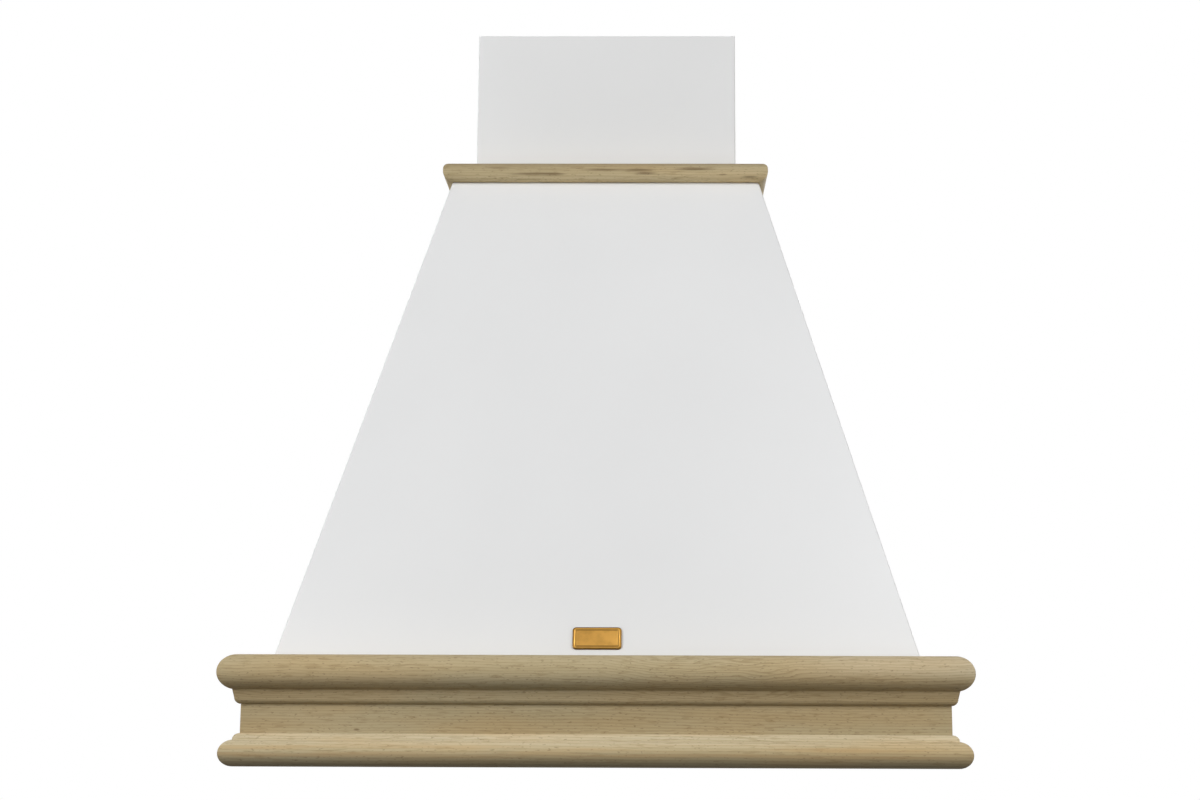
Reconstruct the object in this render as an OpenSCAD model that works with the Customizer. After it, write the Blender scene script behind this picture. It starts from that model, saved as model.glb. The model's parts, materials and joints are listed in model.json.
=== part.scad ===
// Wall-hung country range hood: a steel dome and chimney on a beech base moulding and collar.
// X runs across the hood, Y into the wall and Z up. The origin is on the wall, midway between
// the two wall holes. Heights in the modules are measured from the hood's lower edge.

/* [Hood] */
// Width over the base moulding
hood_w = 600; // [590:2:640]
// Depth from the wall to the front of the base moulding
hood_d = 500; // [480:2:540]
// Height of the dome's top above the lower edge
dome_h = 541; // [520:1:570]
// Distance of the wall holes below the dome's top
hang_down = 211; // [201:1:215]
// Distance between the two wall holes
hang_gap = 300; // [296:1:304]
// Thickness of the painted sheet steel
sheet_t = 1; // [0.8:0.1:1.2]
// Thickness of the galvanised back panel
back_t = 1; // [0.8:0.1:1.5]

/* [Base moulding] */
// Height of the moulding
moulding_h = 88; // [84:0.5:94]
// Thickness from the front of the upper round to the dome
moulding_t = 38; // [36:0.5:42]
// Radius of the upper round
top_r = 14; // [12:0.5:14.5]
// How far the upper round stands out of the flat band
top_out = 17; // [15:0.5:18]
// Radius of the lower round
foot_r = 10.5; // [9:0.25:11]
// How far the lower round stands out of the flat band
foot_out = 14.3; // [12:0.1:14.8]
// Radius of the bead above the lower round
bead_r = 5; // [4:0.25:6]
// Top of the flat band
band_top = 48.8; // [44:0.2:50]
// Corner radius of the step below the upper round
step_r = 5; // [4:0.25:5.5]
// How far that step stands out at its lower corner
step_out = 4.6; // [4:0.1:5.5]
// How much further it stands out at its upper end
step_lean = 1.7; // [0.5:0.1:2]

/* [Collar] */
// Height of the collar
collar_h = 17.5; // [15.5:0.5:20]
// Width of the collar rails
collar_w = 28.5; // [26:0.5:32]
// How far the collar hangs over the dome's top
collar_over = 8.5; // [7:0.25:9]
// Rounding of the collar's upper edge
collar_top_r = 6.5; // [5:0.25:6.75]
// Rounding of the collar's lower edge
collar_low_r = 8.5; // [7:0.25:8.5]

/* [Chimney] */
// Width of the chimney
chimney_w = 250; // [240:1:254]
// Depth of the chimney from the wall
chimney_d = 250; // [244:1:262]
// Height of the chimney above the collar when it is pushed in
chimney_show = 136.5; // [120:0.5:150]
// Length of the chimney
chimney_len = 395; // [385:1:405]
// Width of the chimney's rear flanges
chimney_flange = 15; // [12:0.5:18]
// Gap round the sliding chimney
slide_gap = 0.8; // [0.5:0.1:0.9]
// Gap behind and before the chimney's rear flanges
guide_gap = 0.5; // [0.3:0.05:0.8]

/* [Badge] */
// Width of the badge plate
badge_w = 40; // [34:0.5:46]
// Height of the badge plate
badge_h = 19.5; // [16:0.5:22]
// Distance up the dome from the moulding to the badge
badge_up = 5.7; // [4:0.1:9]
// Thickness of the badge plate
badge_t = 1.6; // [1.2:0.1:2]

/* [Underside] */
// Height of the pan's lower face above the lower edge
pan_z = 16; // [14.5:0.5:18]
// Height of the pan's upstand
pan_rim = 30; // [26:1:34]
// Depth of the front strip that carries the lamps and the buttons
front_strip = 84; // [80:1:90]
// Depth of the strip behind the filters
rear_strip = 39; // [36:1:44]
// Width of the bar between the filters
filter_bar = 12; // [10:1:16]
// Width of the strip beside the filters
side_strip = 22; // [20:1:28]
// Thickness of a filter
filter_t = 9; // [8:0.5:10]
// Width of a filter frame's rim
filter_rim = 14; // [12:0.5:18]
// Width of the rim that holds the latch
latch_rim = 50; // [46:1:56]
// Thickness of the mesh pack
mesh_t = 6; // [5:0.5:6.5]
// Travel of a latch
latch_travel = 6; // [5:0.25:6.5]

/* [Lamps and buttons] */
// Diameter of a lamp housing
lamp_d = 44; // [40:1:48]
// Width of the flange round a lamp
lamp_flange = 5; // [4:0.5:6]
// Distance of a lamp from the dome's side
lamp_in = 62; // [56:1:72]
// Width of a push button
button_w = 16; // [14:0.5:17]
// Depth of a push button
button_d = 18; // [16:0.5:20]
// Distance between neighbouring buttons
button_pitch = 21; // [20.5:0.1:22]
// Travel of a push button
button_travel = 3.5; // [3:0.25:4]

/* [Blower] */
// Outside diameter of the duct spigot
duct_d = 150; // [144:1:156]
// Height of the spigot above its plate
spigot_h = 50; // [46:1:60]
// Wall of the moulded plastic parts
plastic_t = 2; // [1.8:0.1:2.4]
// Width of the scroll housing
scroll_w = 180; // [172:1:182]
// Radius of the scroll at its tongue
scroll_r = 88; // [86:0.5:90]
// Growth of the scroll's radius each quarter turn
scroll_step = 7; // [6:0.25:8]
// Height of the scroll's mouth above the shaft
throat_h = 103; // [101:0.5:105]
// Diameter of the impeller
impeller_d = 150; // [144:1:152]
// Gap between the impeller and the scroll's sides
impeller_gap = 8; // [6:0.5:10]
// Number of blades
blades = 36; // [28:1:42]
// Diameter of the shaft
shaft_d = 8; // [6:0.5:10]
// Diameter of the motor
motor_d = 84; // [78:1:88]
// Length of the motor
motor_len = 60; // [54:1:66]
// Diameter of the air inlets
inlet_d = 124; // [120:1:126]
// Diameter of the flap pin
pin_d = 3; // [2.5:0.1:4]
// Thickness of a damper flap
flap_t = 1.2; // [1:0.1:1.4]

/* [Electrical box] */
// Width of the box
box_w = 65; // [60:1:68]
// Depth of the box
box_d = 35; // [32:1:40]
// Height of the box
box_h = 90; // [84:1:96]
// Diameter of the cable that the gland takes
cable_d = 7; // [6:0.5:8]

/* [Fasteners and fits] */
// Diameter of the wood screws
wood_d = 4; // [3.5:0.1:4.5]
// Length of the wood screws
wood_len = 16; // [14:0.5:18]
// Diameter of the sheet screws
screw_d = 3.5; // [3:0.1:4]
// Diameter of the wall holes
wall_hole_d = 9; // [8:0.5:10]
// Gap round a screw's shank, across the diameter
screw_fit = 0.1; // [0.05:0.01:0.2]
// Running gap round a pin or shaft, across the diameter
run_fit = 0.1; // [0.06:0.01:0.18]
// Gap between parts that slide or lift apart
play = 0.3; // [0.2:0.05:0.4]

/* [Hidden] */
$fn = 64;
eps = 0.5;
// Dome outline
dome_bw = hood_w / 2 - moulding_t;
dome_bd = hood_d - moulding_t;
collar_in = chimney_w / 2 + slide_gap;
collar_hw = collar_in + collar_w;
collar_front = chimney_d + slide_gap + collar_w;
dome_tw = collar_hw - collar_over;
dome_td = collar_front - collar_over;
skirt_z = pan_z - 2;
return_w = 18;
function dome_part(z) = max(0, (z - moulding_h) / (dome_h - moulding_h));
function dome_half(z) = dome_bw + (dome_tw - dome_bw) * dome_part(z);
dome_tilt = atan((dome_bd - dome_td) / (dome_h - moulding_h));
// Chimney
chimney_top = dome_h + collar_h + chimney_show;
chimney_z = chimney_top - chimney_len;
chimney_back = back_t + guide_gap;
duct_y = -(chimney_d + chimney_back) / 2;
strap_t = 1.5;
strap_h = 30;
strap_wing = 28;
strap_down = 40;
strap_z = chimney_top - strap_down;
strap_mid_z = strap_z + strap_h / 2;
strap_y = -chimney_back - sheet_t;
strap_screw_y = strap_y - strap_t - strap_wing / 2;
strap_step = 14;
strap_hole_x = 75;
strap_hole_d = 5.5;
// Badge
badge_corner = 3;
// Guides
guide_in = chimney_w / 2 - chimney_flange - guide_gap;
guide_foot = 14;
guide_lip = 8;
guide_end = 12;
guide_screw_end = 20;
guide_z = chimney_z + guide_end;
guide_len = dome_h - guide_z - guide_end;
guide_screw_x = guide_in - (guide_foot + sheet_t) / 2;
guide_screw_z = [guide_z + guide_screw_end, guide_z + guide_len - guide_screw_end];
// Pan and filters
pan_w = dome_bw - sheet_t;
pan_front = dome_bd - sheet_t;
pan_back = back_t + sheet_t;
floor_z = pan_z + sheet_t;
open_front = pan_front - front_strip;
open_back = pan_back + rear_strip;
open_out = pan_w - side_strip;
open_in = filter_bar / 2;
open_mid = (open_in + open_out) / 2;
filter_side = 1;
filter_ends = [2, 3];
filter_front = open_front - filter_ends[0];
filter_back = open_back + filter_ends[1];
filter_hw = (open_out - open_in) / 2 - filter_side;
groove = 3;
tongue_w = 20;
tongue_t = 1.2;
tongue_in = 8;
mesh_z = pan_z + (filter_t - mesh_t) / 2;
stay_w = 6;
stay_y = [for (i = [1, 2]) -filter_front + latch_rim
    + i * (filter_front - latch_rim - filter_back - filter_rim) / 3];
// Latch and keeper
keeper_w = 30;
keeper_t = 0.8;
keeper_len = 24;
keeper_edge = 9;
keeper_screw_y = -open_front - keeper_len + keeper_edge;
nose_r = 1.4;
notch = 6;
notch_gap = 1;
bolt_w = 26;
bolt_t = 2;
bolt_len = 38;
bolt_reach = 4;
bolt_front = open_front + bolt_reach;
bolt_z = floor_z + keeper_t / 2 + nose_r + play;
tab_w = 18;
tab_t = 3;
tab_drop = 7;
tab_in = 16;
tab_y = -filter_front + tab_in + tab_t;
finger_d = 4;
// Lamps and buttons
strip_off = 8;
strip_y = -(open_front + pan_front) / 2 - strip_off;
lamp_x = dome_bw - lamp_in;
lamp_h = 24;
lamp_wall = 2;
lamp_t = 1.5;
fin_out = 1.5;
fin_t = 1;
fin_z = [12:3:21];
lens_t = 3;
lens_d = lamp_d - 7;
lens_clip = 3;
buttons = 5;
plate_t = 2;
plate_edge = 3;
button_low = button_travel + 0.5;
button_flange = 1.5;
button_h = 13;
cell_w = button_w + 2 * button_flange + 2 * play;
cell_d = button_d + 2 * button_flange + 2 * play;
cell_gap = 1;
cell_h = pan_z - plate_t + button_h + button_travel + cell_gap - floor_z;
row_w = (buttons - 1) * button_pitch + cell_w;
block_wall = 4;
block_room = 14;
block_h = cell_h + block_room;
// Blower
duct_edge = 6;
scroll_back = duct_y + duct_d / 2 + duct_edge;
scroll_front = duct_y - duct_d / 2 - duct_edge;
shaft_y = scroll_back - scroll_r - 3 * scroll_step;
scroll_down = 12;
scroll_top = chimney_z - scroll_down;
shaft_z = scroll_top - throat_h;
adapter_t = 3;
adapter_lip = 8;
adapter_top = scroll_top + adapter_t;
flap_up = 19;
flap_z = adapter_top + flap_up;
ledge = 3;
duct_in = duct_d / 2 - plastic_t;
flap_gap = 0.6;
sleeve_t = 1.5;
sleeve_w = 16;
front_sleeves = [-62, 30];
rear_sleeves = [-44, 12];
lip_screw_in = 30;
lip_screw_y = [scroll_front + lip_screw_in, scroll_back - lip_screw_in];
lip_screw_z = scroll_top - adapter_lip / 2;
impeller_hw = scroll_w / 2 - plastic_t - impeller_gap;
ring_t = 2;
ring_w = 11;
blade_r = impeller_d / 2 - ring_w;
blade_t = 1.2;
blade_turn = 35;
disc_t = 2.5;
hub_d = shaft_d + 14;
hub_len = 14;
hub_cap = 2;
hub_end = hub_len / 2 - hub_cap;
motor_boss = 4;
boss_d = 22;
motor_step = 3;
motor_cap = 8;
mount_t = 3;
mount_rim = 12;
mount_out = inlet_d / 2 + mount_rim;
mount_screw_r = mount_out - mount_rim / 2;
mount_angles = [90, 210, 330];
mount_hub = 60;
spoke_w = 12;
guard_t = 2;
guard_bar = 3;
guard_rings = [18, 32, 46];
guard_in = guard_rings[0] - guard_bar / 2;
lead_off = 14;
lead_z = shaft_z + lead_off;
arm_t = 2;
arm_up = 47;
arm_z = shaft_z + arm_up;
arm_h = 40;
arm_mid_z = arm_z + arm_h / 2;
arm_reach = 85;
arm_screw_end = 12;
arm_screw_y = arm_screw_end - arm_reach;
bracket_screw_x = scroll_w / 4;
// Electrical box
box_t = 1.5;
box_down = 125;
box_z = chimney_z - box_down;
box_top = box_z + box_h;
box_gap = 3;
box_out = dome_half(box_top) - return_w - box_gap;
box_x = -(box_out - box_w / 2);
box_back = back_t;
box_screw_end = 12;
box_screw_z = [box_z + box_screw_end, box_top - box_screw_end];
gland_x = box_x;
gland_y = -(box_back + box_d / 2);
gland_d = cable_d + 5;
clamp_w = 12;
clamp_deep = 14;
clamp_z = [40, 74];
clamp_pitch = 6.5;
capacitor_d = 26;
capacitor_h = 52;
pin_h = 5;
// Wiring
loom_d = cable_d - 2.4;
loom_hole = loom_d + 0.4;
loom_x = -row_w / 4;
loom_in = 2;
loom_y = strip_y - cell_d / 2 - block_wall + loom_in;
loom_down = 4;
loom_z = floor_z + block_h - loom_down;
loom_off = 10;
loom_up = 12;
lamp_lead_up = 8;
lamp_lead_z = pan_z + lamp_lead_up;
// Wall holes and hanging plates
hang_h = dome_h - hang_down;
hang_plate_h = 50;
hang_plate_t = 3;
hang_plate_gap = 3;
hang_plate_in = chimney_w / 2 + hang_plate_gap;
hang_plate_out = dome_half(hang_h + hang_plate_h / 2) - return_w - hang_plate_gap;
hang_screw_end = 8;
hang_screw_off = hang_plate_h / 2 - hang_screw_end;
hang_screw_z = [hang_h - hang_screw_off, hang_h + hang_screw_off];
// Fasteners
head_d = 7.5;
head_h = 2;
cross_w = 4.4;
cross_t = 1;
rail_screw_up = 17;
rail_screw_z = floor_z + rail_screw_up;
wood_bore = wood_d + screw_fit;
wood_hole = wood_d + 0.5;
collar_screw_short = 5;
collar_screw_len = wood_len - collar_screw_short;
screw_hole = screw_d + screw_fit;
front_screw_x = [for (i = [-1.5:1:1.5]) i * dome_bw / 1.9];
side_screw_y = [for (i = [1:3]) -i * dome_bd / 4];
collar_side_x = (collar_in + dome_tw) / 2;
collar_front_y = -(chimney_d + slide_gap + dome_td) / 2;
collar_side_y = [-chimney_d / 4, -chimney_d * 4 / 5];
collar_front_x = [-chimney_w / 3, 0, chimney_w / 3];
panel_screw_end = [40, 60];
panel_screw_z = [
    moulding_h + panel_screw_end[0], hang_h - panel_screw_end[1], dome_h - panel_screw_end[1]
];

// Helpers

// Places a piece from the lower edge's height to the height of the wall holes
module hung() {
    translate([0, 0, -hang_h]) children();
}

// Extrudes an outline drawn in Y and Z along X
module along_x(x0, x1) {
    translate([x0, 0, 0]) rotate([90, 0, 90]) linear_extrude(x1 - x0) children();
}

// Extrudes an outline drawn in X and Z from the wall side towards the front
module to_front(y0, y1) {
    translate([0, -y0, 0]) rotate([90, 0, 0]) linear_extrude(y1 - y0) children();
}

// A box from its lowest to its highest corner
module block(a, b) {
    translate(a) cube(b - a);
}

// A rod from a point along +X, +Y or +Z
module rod_x(p, d, l) {
    translate(p) rotate([0, 90, 0]) cylinder(d = d, h = l);
}
module rod_y(p, d, l) {
    translate(p) rotate([-90, 0, 0]) cylinder(d = d, h = l);
}
module rod_z(p, d, l) {
    translate(p) cylinder(d = d, h = l);
}

// A screw at the origin with its head above and its shank below the XY plane
module screw(d, l) {
    difference() {
        union() {
            cylinder(d = head_d, h = head_h);
            translate([0, 0, -l]) cylinder(d = d, h = l + head_h / 2);
        }
        for (a = [0, 90]) rotate(a)
            block([-cross_w / 2, -cross_t / 2, head_h / 2], [cross_w / 2, cross_t / 2, head_h + eps]);
    }
}

// Turns a screw so that its head looks along the named direction
module facing(way) {
    turn = way == "front" ? [90, 0, 0]
        : way == "back" ? [-90, 0, 0]
        : way == "left" ? [0, -90, 0]
        : way == "right" ? [0, 90, 0]
        : way == "down" ? [180, 0, 0] : [0, 0, 0];
    rotate(turn) children();
}

module mirrored(side) {
    mirror([side == "left" ? 1 : 0, 0, 0]) children();
}

// Places a left or right filter's pieces, which are drawn about the middle of their width
module at_filter(side) {
    translate([side == "left" ? -open_mid : open_mid, 0, 0]) children();
}

// Base moulding

// Section of the moulding, with the flat band at x = 0 and the outside at +x
module moulding_section() {
    step_z = band_top + step_r;
    neck_z = moulding_h - 2 * top_r + 1;
    foot_x = foot_out - foot_r;
    top_x = top_out - top_r;
    translate([top_out - moulding_t, 0]) square([moulding_t - top_out, moulding_h]);
    translate([foot_x, foot_r]) circle(foot_r);
    square([foot_x, 2 * foot_r]);
    translate([0, 2 * foot_r]) circle(bead_r);
    translate([step_out - step_r, step_z]) circle(step_r);
    polygon([[-1, step_z], [step_out, step_z], [step_out + step_lean, neck_z], [-1, neck_z]]);
    translate([top_x, moulding_h - top_r]) circle(top_r);
    translate([-1, neck_z]) square([top_x + 1, moulding_h - neck_z]);
}

module front_wedge(hw, front, t, z0, z1) {
    translate([0, 0, z0]) linear_extrude(z1 - z0)
        polygon([[-hw, -front], [hw, -front], [hw - t, t - front], [t - hw, t - front]]);
}

module side_wedge(hw, front, t, z0, z1) {
    translate([0, 0, z0]) linear_extrude(z1 - z0)
        polygon([[hw, 0], [hw, -front], [hw - t, t - front], [hw - t, 0]]);
}

module base_front_rail() {
    color("#a89a74") difference() {
        intersection() {
            translate([0, top_out - hood_d, 0]) along_x(-hood_w / 2, hood_w / 2)
                mirror([1, 0]) moulding_section();
            front_wedge(hood_w / 2, hood_d, moulding_t, 0, moulding_h);
        }
        for (x = front_screw_x)
            rod_y([x, -dome_bd - wood_len, rail_screw_z], wood_bore, wood_len + eps);
    }
}

module base_side_rail(side) {
    color("#a39670") mirrored(side) difference() {
        intersection() {
            translate([hood_w / 2 - top_out, 0, 0]) to_front(0, hood_d) moulding_section();
            side_wedge(hood_w / 2, hood_d, moulding_t, 0, moulding_h);
        }
        for (y = side_screw_y)
            rod_x([dome_bw - eps, y, rail_screw_z], wood_bore, wood_len + eps);
    }
}

// Collar

// Section of a collar rail, with its outer edge at x = 0 and the inside at -x
module collar_section() {
    translate([-collar_w, 0]) square([collar_w - collar_low_r, collar_h - collar_top_r]);
    translate([-collar_w, collar_low_r]) square([collar_w - collar_top_r, collar_h - collar_low_r]);
    translate([-collar_w, collar_low_r])
        square([collar_w, collar_h - collar_top_r - collar_low_r]);
    translate([-collar_low_r, collar_low_r]) circle(collar_low_r);
    translate([-collar_top_r, collar_h - collar_top_r]) circle(collar_top_r);
}

module collar_hole(x, y) {
    rod_z([x, y, dome_h - eps], wood_bore, collar_screw_len + 1 + eps);
}

module collar_front_rail() {
    color("#9c8d68") difference() {
        intersection() {
            translate([0, -collar_front, dome_h]) along_x(-collar_hw, collar_hw)
                mirror([1, 0]) collar_section();
            front_wedge(collar_hw, collar_front, collar_w, dome_h, dome_h + collar_h);
        }
        for (x = collar_front_x) collar_hole(x, collar_front_y);
    }
}

module collar_side_rail(side) {
    color("#978964") mirrored(side) difference() {
        intersection() {
            translate([collar_hw, 0, dome_h]) to_front(0, collar_front) collar_section();
            side_wedge(collar_hw, collar_front, collar_w, dome_h, dome_h + collar_h);
        }
        for (y = collar_side_y) collar_hole(collar_side_x, y);
    }
}

// Dome and back panel

// The dome's outline from the front, drawn inwards by a margin
module dome_face(inset, z0) {
    polygon([
        [inset - dome_bw, z0], [dome_bw - inset, z0], [dome_bw - inset, moulding_h],
        [dome_tw - inset, dome_h], [inset - dome_tw, dome_h], [inset - dome_bw, moulding_h]
    ]);
}

// The dome as a solid: its front outline and its side outline, crossed
module dome_form(inset, back, z0, z1) {
    intersection() {
        to_front(back, hood_d) dome_face(inset, z0);
        along_x(-hood_w / 2, hood_w / 2) polygon([
            [-back, z0], [inset - dome_bd, z0], [inset - dome_bd, moulding_h],
            [inset - dome_td, dome_h], [-back, dome_h]
        ]);
        block([-hood_w, -hood_d, z0], [hood_w, hood_d, z1]);
    }
}

module dome_shell() {
    color("#e9e9e8") difference() {
        dome_form(0, back_t, skirt_z, dome_h);
        dome_form(sheet_t, back_t + sheet_t, skirt_z - eps, dome_h - sheet_t);
        intersection() {
            to_front(0, back_t + 2 * sheet_t) dome_face(return_w, skirt_z - eps);
            block([-hood_w, -hood_d, 0], [hood_w, hood_d, dome_h - sheet_t]);
        }
        block([-collar_in, -chimney_d - slide_gap, dome_h - 2 * sheet_t],
            [collar_in, eps, dome_h + eps]);
        for (x = front_screw_x) rod_y([x, -dome_bd - eps, rail_screw_z], wood_hole, 3);
        for (y = side_screw_y) rod_x([-hood_w, y, rail_screw_z], wood_hole, 2 * hood_w);
        for (x = collar_front_x)
            rod_z([x, collar_front_y, dome_h - 2 * sheet_t], wood_hole, 3 * sheet_t);
        for (x = [-collar_side_x, collar_side_x], y = collar_side_y)
            rod_z([x, y, dome_h - 2 * sheet_t], wood_hole, 3 * sheet_t);
        for (z = panel_screw_z, s = [-1, 1])
            rod_y([s * (dome_half(z) - return_w / 2), -back_t - 2 * sheet_t, z], screw_hole, 4);
    }
}

module back_panel() {
    color("#a9adb0") difference() {
        to_front(0, back_t) dome_face(0, skirt_z);
        for (s = [-1, 1]) {
            rod_y([s * hang_gap / 2, -back_t - eps, hang_h], wall_hole_d, back_t + 2 * eps);
            for (z = panel_screw_z)
                rod_y([s * (dome_half(z) - return_w / 2), -back_t - eps, z], screw_hole, 3);
            for (z = guide_screw_z)
                rod_y([s * guide_screw_x, -back_t - eps, z], screw_hole, 3);
            for (z = hang_screw_z)
                rod_y([s * hang_gap / 2, -back_t - eps, z], screw_hole, 3);
            rod_y([s * bracket_screw_x, -back_t - eps, arm_mid_z], screw_hole, 3);
        }
        for (z = box_screw_z) rod_y([box_x, -back_t - eps, z], screw_hole, 3);
    }
}

module hanging_plate(side) {
    color("#b7bbbd") mirrored(side) difference() {
        block([hang_plate_in, -back_t - hang_plate_t, hang_h - hang_plate_h / 2],
            [hang_plate_out, -back_t, hang_h + hang_plate_h / 2]);
        rod_y([hang_gap / 2, -back_t - hang_plate_t - eps, hang_h], wall_hole_d, 5);
        for (z = hang_screw_z)
            rod_y([hang_gap / 2, -back_t - hang_plate_t - eps, z], screw_hole, 5);
    }
}

// A strip bent in a Z: its foot lies on the back panel and its lip holds the chimney's flange
module chimney_guide(side) {
    lip_y = -chimney_back - sheet_t - guide_gap;
    color("#b2b6b8") mirrored(side) difference() {
        translate([0, 0, guide_z]) linear_extrude(guide_len) polygon([
            [guide_in - guide_foot, -back_t], [guide_in, -back_t], [guide_in, lip_y],
            [guide_in + guide_lip, lip_y], [guide_in + guide_lip, lip_y - sheet_t],
            [guide_in - sheet_t, lip_y - sheet_t], [guide_in - sheet_t, -back_t - sheet_t],
            [guide_in - guide_foot, -back_t - sheet_t]
        ]);
        for (z = guide_screw_z)
            rod_y([guide_screw_x, -back_t - 2 * sheet_t, z], screw_hole, 4);
    }
}

// Chimney

// Plan of the chimney: three sides and two flanges turned in at the wall
module chimney_plan() {
    hw = chimney_w / 2;
    difference() {
        translate([-hw, -chimney_d]) square([chimney_w, chimney_d - chimney_back]);
        translate([sheet_t - hw, sheet_t - chimney_d])
            square([chimney_w - 2 * sheet_t, chimney_d - chimney_back - 2 * sheet_t]);
        translate([chimney_flange - hw, -chimney_back - 2 * sheet_t])
            square([chimney_w - 2 * chimney_flange, 4 * sheet_t]);
    }
}

module chimney_cover() {
    color("#e2e2e1") difference() {
        translate([0, 0, chimney_z]) linear_extrude(chimney_len) chimney_plan();
        rod_x([-chimney_w, strap_screw_y, strap_mid_z], screw_hole, 2 * chimney_w);
    }
}

// The strap that fixes the chimney's top to the wall: a foot on the wall, a step forward at each
// end behind the chimney's flange, and a wing on each side of the chimney
module chimney_bracket() {
    hw = chimney_w / 2 - sheet_t;
    mid = guide_in - strap_step;
    wing = strap_y - strap_wing;
    t = strap_t;
    color("#b2b6b8") difference() {
        translate([0, 0, strap_z]) linear_extrude(strap_h) polygon([
            [-mid, 0], [mid, 0], [mid, strap_y], [hw, strap_y], [hw, wing], [hw - t, wing],
            [hw - t, strap_y - t], [mid - t, strap_y - t], [mid - t, -t], [t - mid, -t],
            [t - mid, strap_y - t], [t - hw, strap_y - t], [t - hw, wing], [-hw, wing],
            [-hw, strap_y], [-mid, strap_y]
        ]);
        for (s = [-1, 1]) rod_y([s * strap_hole_x, -2 * t, strap_mid_z], strap_hole_d, 3 * t);
        rod_x([-chimney_w, strap_screw_y, strap_mid_z], screw_hole, 2 * chimney_w);
    }
}

module chimney_screws() {
    color("#c9ccce") for (s = [-1, 1]) translate([s * chimney_w / 2, strap_screw_y, strap_mid_z])
        facing(s < 0 ? "left" : "right") screw(screw_d, 8);
}

// Badge: a bare plate with a raised rim and a stamped line, lying on the dome's front
module badge_plate() {
    rim = 1.4;
    line_w = 0.8;
    line_deep = 0.5;
    field_deep = 0.3;
    color("#b8863a") translate([0, -dome_bd, moulding_h]) rotate([90 - dome_tilt, 0, 0])
        translate([0, badge_up, 0]) difference() {
            linear_extrude(badge_t) badge_outline(0);
            translate([0, 0, badge_t - line_deep]) linear_extrude(1) difference() {
                badge_outline(rim);
                badge_outline(rim + line_w);
            }
            translate([0, 0, badge_t - field_deep]) linear_extrude(1)
                badge_outline(rim + 2 * line_w);
        }
}

// The plate's outline with rounded corners, drawn inwards by a margin
module badge_outline(inset) {
    r = badge_corner - inset / 2;
    w = badge_w - 2 * inset;
    h = badge_h - 2 * inset;
    translate([0, badge_h / 2]) {
        square([w - 2 * r, h], center = true);
        square([w, h - 2 * r], center = true);
        for (x = [-1, 1], y = [-1, 1]) translate([x * (w / 2 - r), y * (h / 2 - r)]) circle(r);
    }
}

// Underside

module base_pan() {
    color("#d9dbdc") difference() {
        block([-pan_w, -pan_front, pan_z], [pan_w, -pan_back, pan_z + pan_rim]);
        block([sheet_t - pan_w, sheet_t - pan_front, floor_z],
            [pan_w - sheet_t, -pan_back - sheet_t, pan_z + pan_rim + eps]);
        for (side = ["left", "right"]) at_filter(side) {
            block([-filter_hw - filter_side, -open_front, pan_z - eps],
                [filter_hw + filter_side, -open_back, floor_z + eps]);
            block([-keeper_w / 2 - notch_gap, -open_front - notch, pan_z - eps],
                [keeper_w / 2 + notch_gap, eps - open_front, floor_z + eps]);
            rod_z([0, keeper_screw_y, pan_z - eps], screw_hole, 3);
        }
        for (s = [-1, 1]) rod_z([s * lamp_x, strip_y, pan_z - eps], lamp_d + play, 3);
        block([-row_w / 2, strip_y - cell_d / 2, pan_z - eps],
            [row_w / 2, strip_y + cell_d / 2, floor_z + eps]);
        for (x = front_screw_x) rod_y([x, -pan_front - eps, rail_screw_z], wood_hole, 3);
        for (y = side_screw_y) rod_x([-hood_w, y, rail_screw_z], wood_hole, 2 * hood_w);
    }
}

// A leaf spring across the pan's notch, with a rolled nose that carries the latch
module keeper_spring(side) {
    color("#8f959a") at_filter(side) difference() {
        union() {
            block([-keeper_w / 2, -open_front - keeper_len, floor_z],
                [keeper_w / 2, -open_front - nose_r, floor_z + keeper_t]);
            rod_x([-keeper_w / 2, -open_front - nose_r / 2, floor_z + keeper_t / 2],
                2 * nose_r, keeper_w);
        }
        rod_z([0, keeper_screw_y, floor_z - eps], screw_hole, 3);
    }
}

// A filter frame lies flush in the pan, hooked over its rear edge by two tongues
module filter_frame(side) {
    color("#b9bdc0") at_filter(side) difference() {
        union() {
            block([-filter_hw, -filter_front, pan_z], [filter_hw, -filter_back, pan_z + filter_t]);
            for (s = [-1, 1]) translate([s * filter_hw / 2, 0, 0])
                block([-tongue_w / 2, -filter_back - eps, floor_z + play],
                    [tongue_w / 2, tongue_in - open_back, floor_z + play + tongue_t]);
        }
        difference() {
            block([filter_rim - filter_hw, latch_rim - filter_front, pan_z - eps],
                [filter_hw - filter_rim, -filter_back - filter_rim, pan_z + filter_t + eps]);
            for (y = stay_y)
                block([-filter_hw, y - stay_w / 2, pan_z - 1], [filter_hw, y + stay_w / 2, mesh_z]);
        }
        filter_core(groove);
        latch_room();
    }
}

// The mesh pack's space, which reaches into the frame's groove
module filter_core(reach) {
    block([filter_rim - reach - filter_hw, latch_rim - reach - filter_front, mesh_z],
        [filter_hw - filter_rim + reach, reach - filter_back - filter_rim, mesh_z + mesh_t]);
}

module filter_mesh(side) {
    color("#9da2a6") at_filter(side) filter_core(groove);
}

// Room for the latch: a slot from the frame's front, and one below for its finger tab
module latch_room() {
    gap = play / 2;
    block([-bolt_w / 2 - gap, -filter_front - eps, bolt_z - gap],
        [bolt_w / 2 + gap, -bolt_front + bolt_len + latch_travel + 1, bolt_z + bolt_t + gap]);
    block([-tab_w / 2 - gap, tab_y - tab_t - gap, pan_z - eps],
        [tab_w / 2 + gap, tab_y + latch_travel + gap, bolt_z]);
}

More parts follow.
